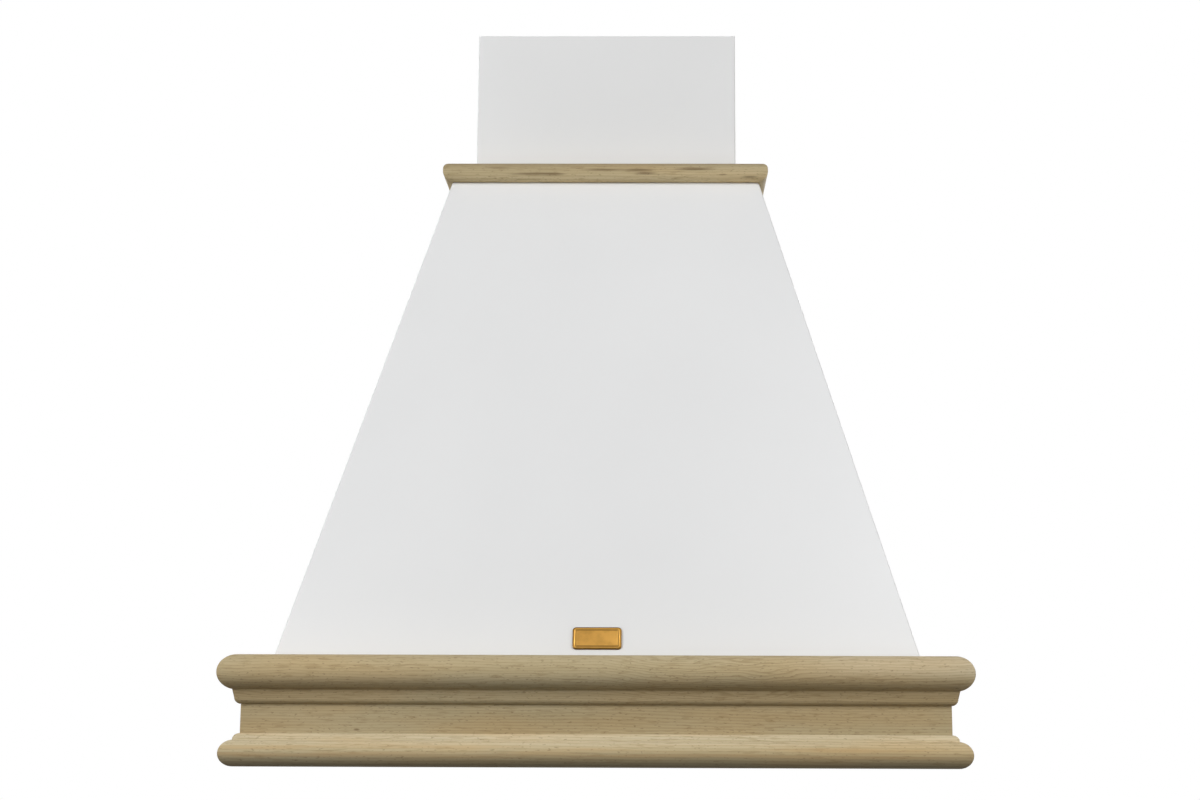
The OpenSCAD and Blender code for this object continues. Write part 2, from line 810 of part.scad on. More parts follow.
// A flat bolt with a finger tab that hangs below the frame
module filter_latch(side) {
    color("#3a3c3e") at_filter(side) {
        block([-bolt_w / 2, -bolt_front, bolt_z], [bolt_w / 2, bolt_len - bolt_front, bolt_z + bolt_t]);
        difference() {
            block([-tab_w / 2, tab_y - tab_t, pan_z - tab_drop], [tab_w / 2, tab_y, bolt_z + eps]);
            rod_x([-tab_w, tab_y + 1, pan_z - (tab_drop + 1) / 2], finger_d, 2 * tab_w);
        }
    }
}

// Lamps

// A cup with cooling fins that stands on the bezel's flange, through the pan
module lamp_housing(side) {
    color("#7c8084") mirrored(side) translate([lamp_x, strip_y, pan_z]) difference() {
        union() {
            cylinder(d = lamp_d, h = lamp_h);
            for (z = fin_z) translate([0, 0, z]) cylinder(d = lamp_d + 2 * fin_out, h = fin_t);
        }
        translate([0, 0, -eps]) cylinder(d = lamp_d - 2 * lamp_wall, h = lamp_h - lamp_wall + eps);
    }
}

// A ring with a flange below the pan; its sleeve fills the housing's mouth and holds the lens
module lamp_bezel(side) {
    color("#cfd2d4") mirrored(side) translate([lamp_x, strip_y, pan_z - lamp_t]) difference() {
        union() {
            cylinder(d = lamp_d + 2 * lamp_flange, h = lamp_t);
            cylinder(d = lamp_d - 2 * lamp_wall, h = lamp_t + lens_t + lens_clip);
        }
        translate([0, 0, -eps]) cylinder(d = lens_d - 3, h = lamp_h);
        translate([0, 0, 1]) cylinder(d = lens_d, h = lamp_h);
    }
}

module lamp_lens(side) {
    color("#f4f0e0") mirrored(side) translate([lamp_x, strip_y, pan_z - lamp_t + 1])
        cylinder(d = lens_d, h = lens_t);
}

// Controls

function button_x(i) = (i - (buttons - 1) / 2) * button_pitch;

module button_hole(i, w, d, z0, z1) {
    translate([button_x(i), strip_y, 0]) block([-w / 2, -d / 2, z0], [w / 2, d / 2, z1]);
}

module control_plate() {
    color("#2f3133") difference() {
        block([-row_w / 2 - block_wall, strip_y - cell_d / 2 - plate_edge, pan_z - plate_t],
            [row_w / 2 + block_wall, strip_y + cell_d / 2 + plate_edge, pan_z]);
        for (i = [0:buttons - 1])
            button_hole(i, button_w + 2 * play, button_d + 2 * play, 0, pan_z + eps);
    }
}

module switch_block() {
    color("#46494c") difference() {
        block([-row_w / 2 - block_wall, strip_y - cell_d / 2 - block_wall, floor_z],
            [row_w / 2 + block_wall, strip_y + cell_d / 2 + block_wall, floor_z + block_h]);
        for (i = [0:buttons - 1]) button_hole(i, cell_w, cell_d, floor_z - eps, floor_z + cell_h);
        rod_y([loom_x, loom_y - block_wall, loom_z], loom_hole, 2 * block_wall);
    }
}

// A push button with the flange that keeps it in its cell
module push_button(i) {
    low = pan_z - plate_t - button_low;
    color("#d6d7d5") {
        button_hole(i, button_w, button_d, low, low + button_h + button_low);
        button_hole(i, button_w + 2 * button_flange, button_d + 2 * button_flange,
            pan_z + play, pan_z + play + button_flange);
    }
}

// Blower

// Outline of the scroll in Y and Z about the shaft: three growing quarters and the throat
module scroll_outline(inset, mouth) {
    r = scroll_r;
    s = scroll_step;
    intersection() {
        circle(r - inset);
        translate([-2 * r, 0]) square(2 * r);
    }
    intersection() {
        translate([s, 0]) circle(r + s - inset);
        translate([s - 2 * r, -2 * r]) square(2 * r);
    }
    intersection() {
        translate([s, s]) circle(r + 2 * s - inset);
        translate([s, s - 2 * r]) square(2 * r);
    }
    translate([scroll_front - shaft_y + inset, 0])
        square([scroll_back - scroll_front - 2 * inset, mouth]);
    square([r + 3 * s - inset, s]);
}

module scroll_half(side) {
    color("#3f4245") mirrored(side) difference() {
        translate([0, shaft_y, shaft_z]) along_x(0, scroll_w / 2) scroll_outline(0, throat_h);
        translate([0, shaft_y, shaft_z]) along_x(-eps, scroll_w / 2 - plastic_t)
            scroll_outline(plastic_t, throat_h + eps);
        rod_x([0, shaft_y, shaft_z], inlet_d, scroll_w);
        for (a = mount_angles) mount_hole(a);
        rod_x([0, arm_screw_y, arm_mid_z], screw_hole, scroll_w);
        for (y = lip_screw_y) rod_x([0, y, lip_screw_z], screw_hole, scroll_w);
    }
}

module mount_hole(a) {
    translate([0, shaft_y, shaft_z]) rotate([a, 0, 0])
        rod_x([scroll_w / 4, mount_screw_r, 0], screw_hole, scroll_w);
}

// The plate on the scroll's mouth with the duct spigot, its ledge and the flap pin's holes
module outlet_adapter() {
    hw = scroll_w / 2;
    color("#2f3235") difference() {
        union() {
            block([-hw - plastic_t, scroll_front - plastic_t, scroll_top - adapter_lip],
                [hw + plastic_t, scroll_back + plastic_t, adapter_top]);
            rod_z([0, duct_y, scroll_top], duct_d, adapter_t + spigot_h);
        }
        block([-hw, scroll_front, 0], [hw, scroll_back, scroll_top]);
        rod_z([0, duct_y, 0], 2 * (duct_in - ledge), 2 * dome_h);
        rod_z([0, duct_y, flap_z - flap_t / 2 - play], 2 * duct_in, dome_h);
        rod_x([-duct_d, duct_y, flap_z], pin_d + screw_fit, 2 * duct_d);
        for (y = lip_screw_y) rod_x([-scroll_w, y, lip_screw_z], screw_hole, 2 * scroll_w);
        for (y = [scroll_front, scroll_back], x = [-hw, hw])
            block([x - 1, y - 1, scroll_top - adapter_lip], [x + 1, y + 1, scroll_top]);
    }
}

module flap_pin() {
    color("#c3c7ca") rod_x([1 - duct_d / 2, duct_y, flap_z], pin_d, duct_d - 2);
}

// A half disc on the flap pin, held by two sleeves; the other flap's sleeves lie between them
module damper_flap(front) {
    edge = pin_d / 2 + sleeve_t + flap_gap;
    sleeves = front ? front_sleeves : rear_sleeves;
    turn = front ? 180 : 0;
    color("#d0d3d5") translate([0, duct_y, flap_z]) difference() {
        union() {
            translate([0, 0, -flap_t / 2]) linear_extrude(flap_t) rotate(turn) intersection() {
                circle(duct_in - flap_gap);
                translate([-duct_in, edge]) square([2 * duct_in, duct_in]);
            }
            for (x = sleeves) {
                rod_x([x, 0, 0], pin_d + 2 * sleeve_t, sleeve_w);
                translate([x, 0, -flap_t / 2]) mirror([0, front ? 1 : 0, 0])
                    cube([sleeve_w, edge + eps, flap_t]);
            }
        }
        rod_x([-duct_d, 0, 0], pin_d + run_fit, 2 * duct_d);
    }
}

module motor() {
    x0 = -scroll_w / 2;
    color("#6f7478") difference() {
        translate([0, shaft_y, shaft_z]) {
            rod_x([x0, 0, 0], motor_d - 2 * motor_step, motor_len);
            rod_x([x0 + motor_cap, 0, 0], motor_d, motor_len - 2 * motor_cap);
            rod_x([x0 + motor_len - eps, 0, 0], boss_d, motor_boss + eps);
        }
        rod_x([x0 - 1, shaft_y, shaft_z], shaft_d + run_fit, motor_len + 2 * motor_boss);
    }
}

// Three arms across the left inlet, with a hub that carries the motor
module motor_mount() {
    x0 = -scroll_w / 2 - mount_t;
    color("#8d9296") difference() {
        translate([x0, shaft_y, shaft_z]) {
            difference() {
                rod_x([0, 0, 0], 2 * mount_out, mount_t);
                rod_x([-eps, 0, 0], inlet_d, mount_t + 2 * eps);
            }
            for (a = mount_angles) rotate([a, 0, 0])
                block([0, 0, -spoke_w / 2], [mount_t, inlet_d / 2 + 3, spoke_w / 2]);
            rod_x([0, 0, 0], mount_hub, mount_t);
        }
        for (a = mount_angles) mirror([1, 0, 0]) mount_hole(a);
        rod_x([x0 - eps, shaft_y, shaft_z], shaft_d + 3, 2 * mount_t);
        rod_x([x0 - eps, shaft_y + lead_off, lead_z], cable_d, 2 * mount_t);
    }
}

// Rings and spokes over the right inlet
module inlet_guard() {
    x0 = scroll_w / 2;
    color("#8d9296") translate([0, shaft_y, shaft_z]) along_x(x0, x0 + guard_t) difference() {
        union() {
            for (r = guard_rings) ring(r, guard_bar);
            ring(mount_out, mount_out - inlet_d / 2 + 2);
            for (a = [0:60:300]) rotate(a) translate([guard_in, -guard_bar / 2])
                square([inlet_d / 2 - guard_in, guard_bar]);
        }
        for (a = mount_angles) rotate(a) translate([mount_screw_r, 0]) circle(d = screw_hole);
    }
}

module ring(r, w) {
    difference() {
        circle(r);
        circle(r - w);
    }
}

// A U of steel strip from the back panel, clasping the scroll's sides
module blower_bracket() {
    hw = scroll_w / 2;
    color("#b2b6b8") difference() {
        translate([0, 0, arm_z]) linear_extrude(arm_h) polygon([
            [-hw - arm_t, -back_t], [hw + arm_t, -back_t], [hw + arm_t, -arm_reach],
            [hw, -arm_reach], [hw, -back_t - arm_t], [-hw, -back_t - arm_t],
            [-hw, -arm_reach], [-hw - arm_t, -arm_reach]
        ]);
        rod_x([-scroll_w, arm_screw_y, arm_mid_z], screw_hole, 2 * scroll_w);
        for (s = [-1, 1])
            rod_y([s * bracket_screw_x, -back_t - arm_t - eps, arm_mid_z], screw_hole, 5);
    }
}

// Forward-curved blades between two rings, with a disc and a hub, closed at its end, in the middle
module impeller() {
    color("#2b2d30") translate([0, shaft_y, shaft_z]) difference() {
        union() {
            along_x(-impeller_hw, impeller_hw) for (i = [0:blades - 1]) rotate(i * 360 / blades)
                translate([blade_r + 0.5, 0]) rotate(blade_turn) square([ring_w, blade_t]);
            for (x = [-impeller_hw, impeller_hw - ring_t]) difference() {
                rod_x([x, 0, 0], impeller_d, ring_t);
                rod_x([x - eps, 0, 0], 2 * blade_r, ring_t + 2 * eps);
            }
            rod_x([-disc_t / 2, 0, 0], impeller_d, disc_t);
            rod_x([-hub_len / 2, 0, 0], hub_d, hub_len);
        }
        rod_x([-hub_len, 0, 0], shaft_d + screw_fit, hub_len + hub_end);
    }
}

module motor_shaft() {
    color("#c3c7ca") rod_x([0.5 - scroll_w / 2, shaft_y, shaft_z],
        shaft_d, scroll_w / 2 - 0.5 + hub_end - play);
}

// Electrical box

module box_at() {
    translate([box_x, -box_back, box_z]) children();
}

module electrical_box() {
    color("#3b3e41") difference() {
        box_at() block([-box_w / 2, -box_d, 0], [box_w / 2, 0, box_h]);
        box_at() block([box_t - box_w / 2, -box_d - eps, box_t],
            [box_w / 2 - box_t, -box_t, box_h - box_t]);
        rod_z([gland_x, gland_y, box_top - 2 * box_t], gland_d + screw_fit, 3 * box_t);
        rod_z([gland_x, gland_y, box_z - eps], loom_hole, 2 * box_t);
        rod_x([box_x, gland_y, lead_z], loom_hole, box_w);
        for (z = box_screw_z) rod_y([box_x, -box_back - 2 * box_t, z], screw_hole, 3 * box_t);
    }
}

// A lid with a lip that plugs into the box
module electrical_box_cover() {
    color("#303235") box_at() {
        block([-box_w / 2, -box_d - box_t, 0], [box_w / 2, -box_d, box_h]);
        difference() {
            block([box_t - box_w / 2, -box_d, box_t], [box_w / 2 - box_t, 3 - box_d, box_h - box_t]);
            block([2 * box_t - box_w / 2, -box_d - eps, 2 * box_t],
                [box_w / 2 - 2 * box_t, 4 - box_d, box_h - 2 * box_t]);
        }
    }
}

// Clamps in a column on the box's back
module terminal_block() {
    x0 = 2 * box_t - box_w / 2;
    front = -box_t - clamp_deep;
    color("#d8d3c2") box_at() difference() {
        block([x0, front, clamp_z[0]], [x0 + clamp_w, -box_t, clamp_z[1]]);
        for (z = [clamp_z[0] + 4:clamp_pitch:clamp_z[1] - 3])
            rod_y([x0 + clamp_w / 2, front - eps, z], screw_d, 6);
    }
}

// A can with two terminals, clamped in the box's lower corner
module run_capacitor() {
    off = capacitor_d / 2 + 0.5;
    color("#c9c9c4") box_at() translate([box_w / 2 - box_t - off, -box_t - off, box_t]) {
        cylinder(d = capacitor_d, h = capacitor_h);
        for (x = [-4, 4]) rod_z([x, 0, capacitor_h - eps], pin_d, pin_h + eps);
    }
}

// The gland for the supply cable, with its nut below the box's top
module cable_gland() {
    body = 12;
    nose = 5;
    nut = 4;
    collar = 2;
    color("#26282a") translate([gland_x, gland_y, box_top]) difference() {
        union() {
            translate([0, 0, -box_t - nut - 2]) cylinder(d = gland_d, h = box_t + nut + 2 * collar);
            cylinder(d = gland_d + 8, h = nose, $fn = 6);
            cylinder(d = gland_d + 3, h = body);
            translate([0, 0, body - eps])
                cylinder(d1 = gland_d + 3, d2 = gland_d, h = nose + eps);
            translate([0, 0, -box_t - nut]) cylinder(d = gland_d + 7, h = nut, $fn = 6);
        }
        translate([0, 0, -10]) cylinder(d = cable_d, h = 30);
    }
}

// Wiring held inside the hood

function unit(v) = v / norm(v);

// Rounds the corners of a route
function rounded(p, r) = concat([p[0]], [
    for (i = [1:len(p) - 2], t = [0:0.25:1])
        let (a = p[i] + r * unit(p[i - 1] - p[i]), b = p[i] + r * unit(p[i + 1] - p[i]))
        (1 - t) * (1 - t) * a + 2 * t * (1 - t) * p[i] + t * t * b
], [p[len(p) - 1]]);

function heading(p, i) = unit(p[min(i + 1, len(p) - 1)] - p[max(i - 1, 0)]);

// Carries a sideways vector along the route, so that the rings of a cable don't twist
function carried(p, u, i = 0) = i == len(p) ? [] :
    let (t = heading(p, i), v = unit(u - (u * t) * t)) concat([v], carried(p, v, i + 1));

// A round cable along a route with rounded corners
module cable(route, d, side) {
    n = 10;
    path = rounded(route, 2.5 * d);
    sides = carried(path, side);
    last = n * (len(path) - 1);
    polyhedron(
        points = [for (i = [0:len(path) - 1], k = [0:n - 1]) path[i]
            + d / 2 * (cos(360 * k / n) * sides[i] + sin(360 * k / n) * cross(heading(path, i), sides[i]))],
        faces = concat(
            [for (i = [0:len(path) - 2], k = [0:n - 1]) [n * i + k, n * i + n + k, n * i + (k + 1) % n]],
            [for (i = [0:len(path) - 2], k = [0:n - 1])
                [n * i + n + k, n * i + n + (k + 1) % n, n * i + (k + 1) % n]],
            [for (k = [1:n - 2]) [0, k, k + 1]],
            [for (k = [1:n - 2]) [last, last + k + 1, last + k]]
        )
    );
}

module wiring_loom() {
    side_x = -pan_w + loom_off;
    low_z = pan_z + pan_rim + loom_up;
    front_y = -pan_front + loom_off;
    lead_x = -scroll_w / 2 - lead_off;
    color("#8b8f92") {
        cable([
            [gland_x, gland_y, box_z], [gland_x, gland_y, low_z], [side_x, gland_y, low_z],
            [side_x, front_y, low_z], [loom_x, front_y, low_z], [loom_x, front_y, loom_z],
            [loom_x, loom_y, loom_z]
        ], loom_d, [1, 0, 0]);
        cable([
            [box_x + box_w / 2, gland_y, lead_z], [lead_x, gland_y, lead_z],
            [lead_x, shaft_y + lead_off, lead_z], [-scroll_w / 2, shaft_y + lead_off, lead_z]
        ], loom_d, [0, 0, 1]);
        for (s = [-1, 1]) mirror([s < 0 ? 1 : 0, 0, 0])
            rod_x([row_w / 2 + block_wall, strip_y, lamp_lead_z], loom_d,
                lamp_x - lamp_d / 2 - row_w / 2 - block_wall);
    }
}

// Fasteners

// Screws through the pan and the dome's skirt into the base rails
module rail_screws() {
    color("#c9a85a") {
        for (x = front_screw_x) translate([x, -pan_front + sheet_t, rail_screw_z])
            facing("back") screw(wood_d, wood_len - 1);
        for (y = side_screw_y, s = [-1, 1]) translate([s * (pan_w - sheet_t), y, rail_screw_z])
            facing(s < 0 ? "right" : "left") screw(wood_d, wood_len - 1);
    }
}

// Screws up through the dome's top into the collar
module collar_screws() {
    color("#c9a85a") {
        for (x = collar_front_x) translate([x, collar_front_y, dome_h - sheet_t])
            facing("down") screw(wood_d, collar_screw_len);
        for (x = [-collar_side_x, collar_side_x], y = collar_side_y)
            translate([x, y, dome_h - sheet_t]) facing("down") screw(wood_d, collar_screw_len);
    }
}

// Screws that join the sheet parts and the plastic parts
module sheet_screws() {
    hw = scroll_w / 2;
    color("#c9ccce") {
        for (s = [-1, 1]) {
            for (z = panel_screw_z)
                translate([s * (dome_half(z) - return_w / 2), -back_t - sheet_t, z])
                    facing("front") screw(screw_d, back_t + sheet_t);
            for (z = guide_screw_z) translate([s * guide_screw_x, -back_t - sheet_t, z])
                facing("front") screw(screw_d, back_t + sheet_t);
            for (z = hang_screw_z) translate([s * hang_gap / 2, -back_t - hang_plate_t, z])
                facing("front") screw(screw_d, back_t + hang_plate_t);
            translate([s * bracket_screw_x, -back_t - arm_t, arm_mid_z])
                facing("front") screw(screw_d, back_t + arm_t);
            translate([s * (hw + arm_t), arm_screw_y, arm_mid_z])
                facing(s < 0 ? "left" : "right") screw(screw_d, arm_t + plastic_t + 1);
            for (y = lip_screw_y) translate([s * (hw + plastic_t), y, lip_screw_z])
                facing(s < 0 ? "left" : "right") screw(screw_d, 2 * plastic_t);
            translate([s * open_mid, keeper_screw_y, floor_z + keeper_t])
                facing("up") screw(screw_d, keeper_t + sheet_t);
        }
        for (z = box_screw_z) translate([box_x, -box_back - box_t, z])
            facing("front") screw(screw_d, box_t + back_t);
        for (a = mount_angles) {
            translate([0, shaft_y, shaft_z]) rotate([a, 0, 0])
                translate([hw + guard_t, mount_screw_r, 0])
                    facing("right") screw(screw_d, guard_t + plastic_t);
            mirror([1, 0, 0]) translate([0, shaft_y, shaft_z]) rotate([a, 0, 0])
                translate([hw + mount_t, mount_screw_r, 0])
                    facing("right") screw(screw_d, mount_t + plastic_t);
        }
    }
}

hung() dome_shell();
hung() back_panel();
hung() base_front_rail();
hung() base_side_rail("left");  // base_left_rail
hung() base_side_rail("right");  // base_right_rail
hung() collar_front_rail();
hung() collar_side_rail("left");  // collar_left_rail
hung() collar_side_rail("right");  // collar_right_rail
hung() badge_plate();
hung() base_pan();
hung() hanging_plate("left");  // left_hanging_plate
hung() hanging_plate("right");  // right_hanging_plate
hung() chimney_guide("left");  // left_chimney_guide
hung() chimney_guide("right");  // right_chimney_guide
hung() scroll_half("left");  // scroll_left_half
hung() scroll_half("right");  // scroll_right_half
hung() outlet_adapter();
hung() flap_pin();
hung() motor();
hung() motor_mount();
hung() inlet_guard();
hung() blower_bracket();
hung() electrical_box();
hung() electrical_box_cover();
hung() terminal_block();
hung() run_capacitor();
hung() cable_gland();
hung() control_plate();
hung() switch_block();
hung() lamp_housing("left");  // left_lamp_housing
hung() lamp_bezel("left");  // left_lamp_bezel
hung() lamp_lens("left");  // left_lamp_lens
hung() lamp_housing("right");  // right_lamp_housing
hung() lamp_bezel("right");  // right_lamp_bezel
hung() lamp_lens("right");  // right_lamp_lens
hung() keeper_spring("left");  // left_keeper_spring
hung() keeper_spring("right");  // right_keeper_spring
hung() rail_screws();
hung() collar_screws();
hung() sheet_screws();
hung() wiring_loom();
hung() chimney_cover();
hung() chimney_bracket();
hung() chimney_screws();
hung() impeller();
hung() motor_shaft();
hung() damper_flap(true);  // front_damper_flap
hung() damper_flap(false);  // rear_damper_flap
hung() filter_frame("left");  // left_filter_frame
hung() filter_mesh("left");  // left_filter_mesh
hung() filter_frame("right");  // right_filter_frame
hung() filter_mesh("right");  // right_filter_mesh
hung() filter_latch("left");  // left_filter_latch
hung() filter_latch("right");  // right_filter_latch
hung() push_button(0);  // off_button
hung() push_button(1);  // speed_1_button
hung() push_button(2);  // speed_2_button
hung() push_button(3);  // speed_3_button
hung() push_button(4);  // light_button
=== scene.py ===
import json
from math import acos, asin, atan2, cos, degrees, hypot, pi, radians, sin

import bmesh
import bpy
from mathutils import Matrix, Vector


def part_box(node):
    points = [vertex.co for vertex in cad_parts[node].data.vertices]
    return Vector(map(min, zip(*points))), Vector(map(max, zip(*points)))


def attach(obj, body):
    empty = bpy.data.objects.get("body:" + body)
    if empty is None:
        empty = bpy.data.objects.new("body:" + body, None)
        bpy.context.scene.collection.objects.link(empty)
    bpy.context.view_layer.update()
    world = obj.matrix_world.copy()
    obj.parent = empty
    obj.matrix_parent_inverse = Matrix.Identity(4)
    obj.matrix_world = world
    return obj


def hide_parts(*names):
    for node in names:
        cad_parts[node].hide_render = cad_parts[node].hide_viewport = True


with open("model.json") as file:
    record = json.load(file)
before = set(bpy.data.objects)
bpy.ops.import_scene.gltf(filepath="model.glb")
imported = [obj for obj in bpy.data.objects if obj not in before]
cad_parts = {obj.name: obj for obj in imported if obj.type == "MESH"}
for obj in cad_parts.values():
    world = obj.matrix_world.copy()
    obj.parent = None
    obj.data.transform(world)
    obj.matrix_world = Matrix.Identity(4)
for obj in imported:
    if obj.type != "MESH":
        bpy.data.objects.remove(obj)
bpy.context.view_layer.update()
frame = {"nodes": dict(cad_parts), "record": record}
nodes = frame["nodes"]
print("range hood: frame loaded with", len(nodes), "CAD nodes")

mm = 0.001
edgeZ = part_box("base_front_rail")[0].z  # the hood's lower edge, from which heights are measured


# Camera

cameraFit = {
    "imageWidth": 1200,              # the photograph's frame, in pixels
    "focalPixels": 1904.6,
    "centreOffset": (32.1, -32.2),   # principal point from the middle of the picture, in pixels
    "place": (0.0433, -2.0221, -0.2941),
    "yaw": -0.0099,
    "pitch": 0.1837,
    "roll": -0.0034,
}


def addCamera(fit):
    data = bpy.data.cameras.new("photoCamera")
    data.sensor_width = 36
    data.lens = fit["focalPixels"] / fit["imageWidth"] * data.sensor_width
    data.shift_x = -fit["centreOffset"][0] / fit["imageWidth"]
    data.shift_y = fit["centreOffset"][1] / fit["imageWidth"]
    data.clip_start = 0.02
    yaw, pitch, roll = fit["yaw"], fit["pitch"], fit["roll"]
    ahead = Vector((sin(yaw) * cos(pitch), cos(yaw) * cos(pitch), sin(pitch)))
    level = Vector((cos(yaw), -sin(yaw), 0))
    down = ahead.cross(level)
    right = cos(roll) * level + sin(roll) * down
    up = sin(roll) * level - cos(roll) * down
    camera = bpy.data.objects.new("photoCamera", data)
    turn = Matrix((right, up, -ahead)).transposed()
    camera.matrix_world = Matrix.Translation(fit["place"]) @ turn.to_4x4()
    bpy.context.scene.collection.objects.link(camera)
    bpy.context.scene.camera = camera


# Studio

studio = {
    "white": 1.0,            # what the camera sees behind the hood
    "skyUp": 0.11,           # light from above, from the horizon and from below
    "skyLevel": 0.0,
    "skyDown": (0.040, 0.037, 0.024),
    "skyGloss": 0.42,        # what shiny surfaces see of the white room
    "horizon": (0.42, 0.54),  # where the sky turns from below to level, of its height from 0 to 1
    "lights": [              # name, place, size, power
        ("leftLight", (-3.0, -3.2, 1.62), 2.4, 124),
        ("rightLight", (2.0, -2.5, 2.4), 1.5, 56),
        ("lowLeftLight", (-1.7, -1.5, -0.25), 1.0, 3.5),
        ("lowRightLight", (1.7, -1.5, -0.25), 1.0, 10),
        ("backLeftLight", (-1.5, 2.3, 1.1), 1.6, 26),
        ("backRightLight", (1.5, 2.3, 0.7), 1.6, 20),
    ],
    "aim": (0, -0.25, 0),
    "floorZ": -3.1,          # low enough to stay under a camera that looks up at the filters
    "floorRadius": 9,
    "floorSides": 96,
    "floorGlow": 0.80,       # in the middle, rising to the white of the ground at the rim
    "glowFrom": 0.35,        # of the radius
    "floorTones": (0.16, 0.18),
}


def softLight(name, place, aim, size, power):
    data = bpy.data.lights.new(name, "AREA")
    data.shape = "DISK"
    data.size = size
    data.energy = power
    light = bpy.data.objects.new(name, data)
    light.location = place
    light.rotation_euler = (Vector(aim) - Vector(place)).to_track_quat("-Z", "Y").to_euler()
    bpy.context.scene.collection.objects.link(light)


def buildWorld(s):
    world = bpy.data.worlds.new("studioSky")
    bpy.context.scene.world = world
    world.use_nodes = True
    tree = world.node_tree
    tree.nodes.clear()
    add, link = tree.nodes.new, tree.links.new
    coords = add("ShaderNodeTexCoord")
    split = add("ShaderNodeSeparateXYZ")
    height = add("ShaderNodeMapRange")
    height.inputs[1].default_value = -1  # straight down is 0, straight up 1
    ramp = add("ShaderNodeValToRGB")
    ramp.color_ramp.elements[0].color = (*s["skyDown"], 1)
    ramp.color_ramp.elements[1].color = (s["skyUp"],) * 3 + (1,)
    ramp.color_ramp.elements.new(s["horizon"][0]).color = (*s["skyDown"], 1)
    ramp.color_ramp.elements.new(s["horizon"][1]).color = (s["skyLevel"],) * 3 + (1,)
    path = add("ShaderNodeLightPath")
    sky = add("ShaderNodeBackground")
    room = add("ShaderNodeBackground")
    plain = add("ShaderNodeBackground")
    for shade, tone in ((room, s["skyGloss"]), (plain, s["white"])):
        shade.inputs[0].default_value = (tone, tone, tone, 1)
    link(coords.outputs["Generated"], split.inputs[0])
    link(split.outputs[2], height.inputs[0])
    link(height.outputs[0], ramp.inputs[0])
    link(ramp.outputs[0], sky.inputs[0])
    behind = sky
    for ray, shade in (("Is Glossy Ray", room), ("Is Camera Ray", plain)):
        mix = add("ShaderNodeMixShader")
        link(path.outputs[ray], mix.inputs[0])
        link(behind.outputs[0], mix.inputs[1])
        link(shade.outputs[0], mix.inputs[2])
        behind = mix
    link(behind.outputs[0], add("ShaderNodeOutputWorld").inputs[0])


def buildStudio(s):
    scene = bpy.context.scene
    scene.view_settings.view_transform = "Standard"
    scene.view_settings.look = "None"
    scene.view_settings.exposure = 0
    scene.view_settings.gamma = 1
    buildWorld(s)
    for name, place, size, power in s["lights"]:
        softLight(name, place, s["aim"], size, power)


# Shader tools

class Wire:  # a socket that takes part in sums
    def __init__(self, paint, socket):
        self.paint = paint
        self.socket = socket

    def sum(self, operation, *values):
        return self.paint.add("ShaderNodeMath", {"operation": operation}, dict(enumerate(values)))

    def __add__(self, other):
        return self.sum("ADD", self, other)

    def __radd__(self, other):
        return self.sum("ADD", other, self)

    def __sub__(self, other):
        return self.sum("SUBTRACT", self, other)

    def __rsub__(self, other):
        return self.sum("SUBTRACT", other, self)

    def __mul__(self, other):
        return self.sum("MULTIPLY", self, other)

    def __truediv__(self, other):
        return self.sum("DIVIDE", self, other)

    def __pow__(self, other):
        return self.sum("POWER", self, other)

    def atLeast(self, other):
        return self.sum("MAXIMUM", self, other)

    def atMost(self, other):
        return self.sum("MINIMUM", self, other)


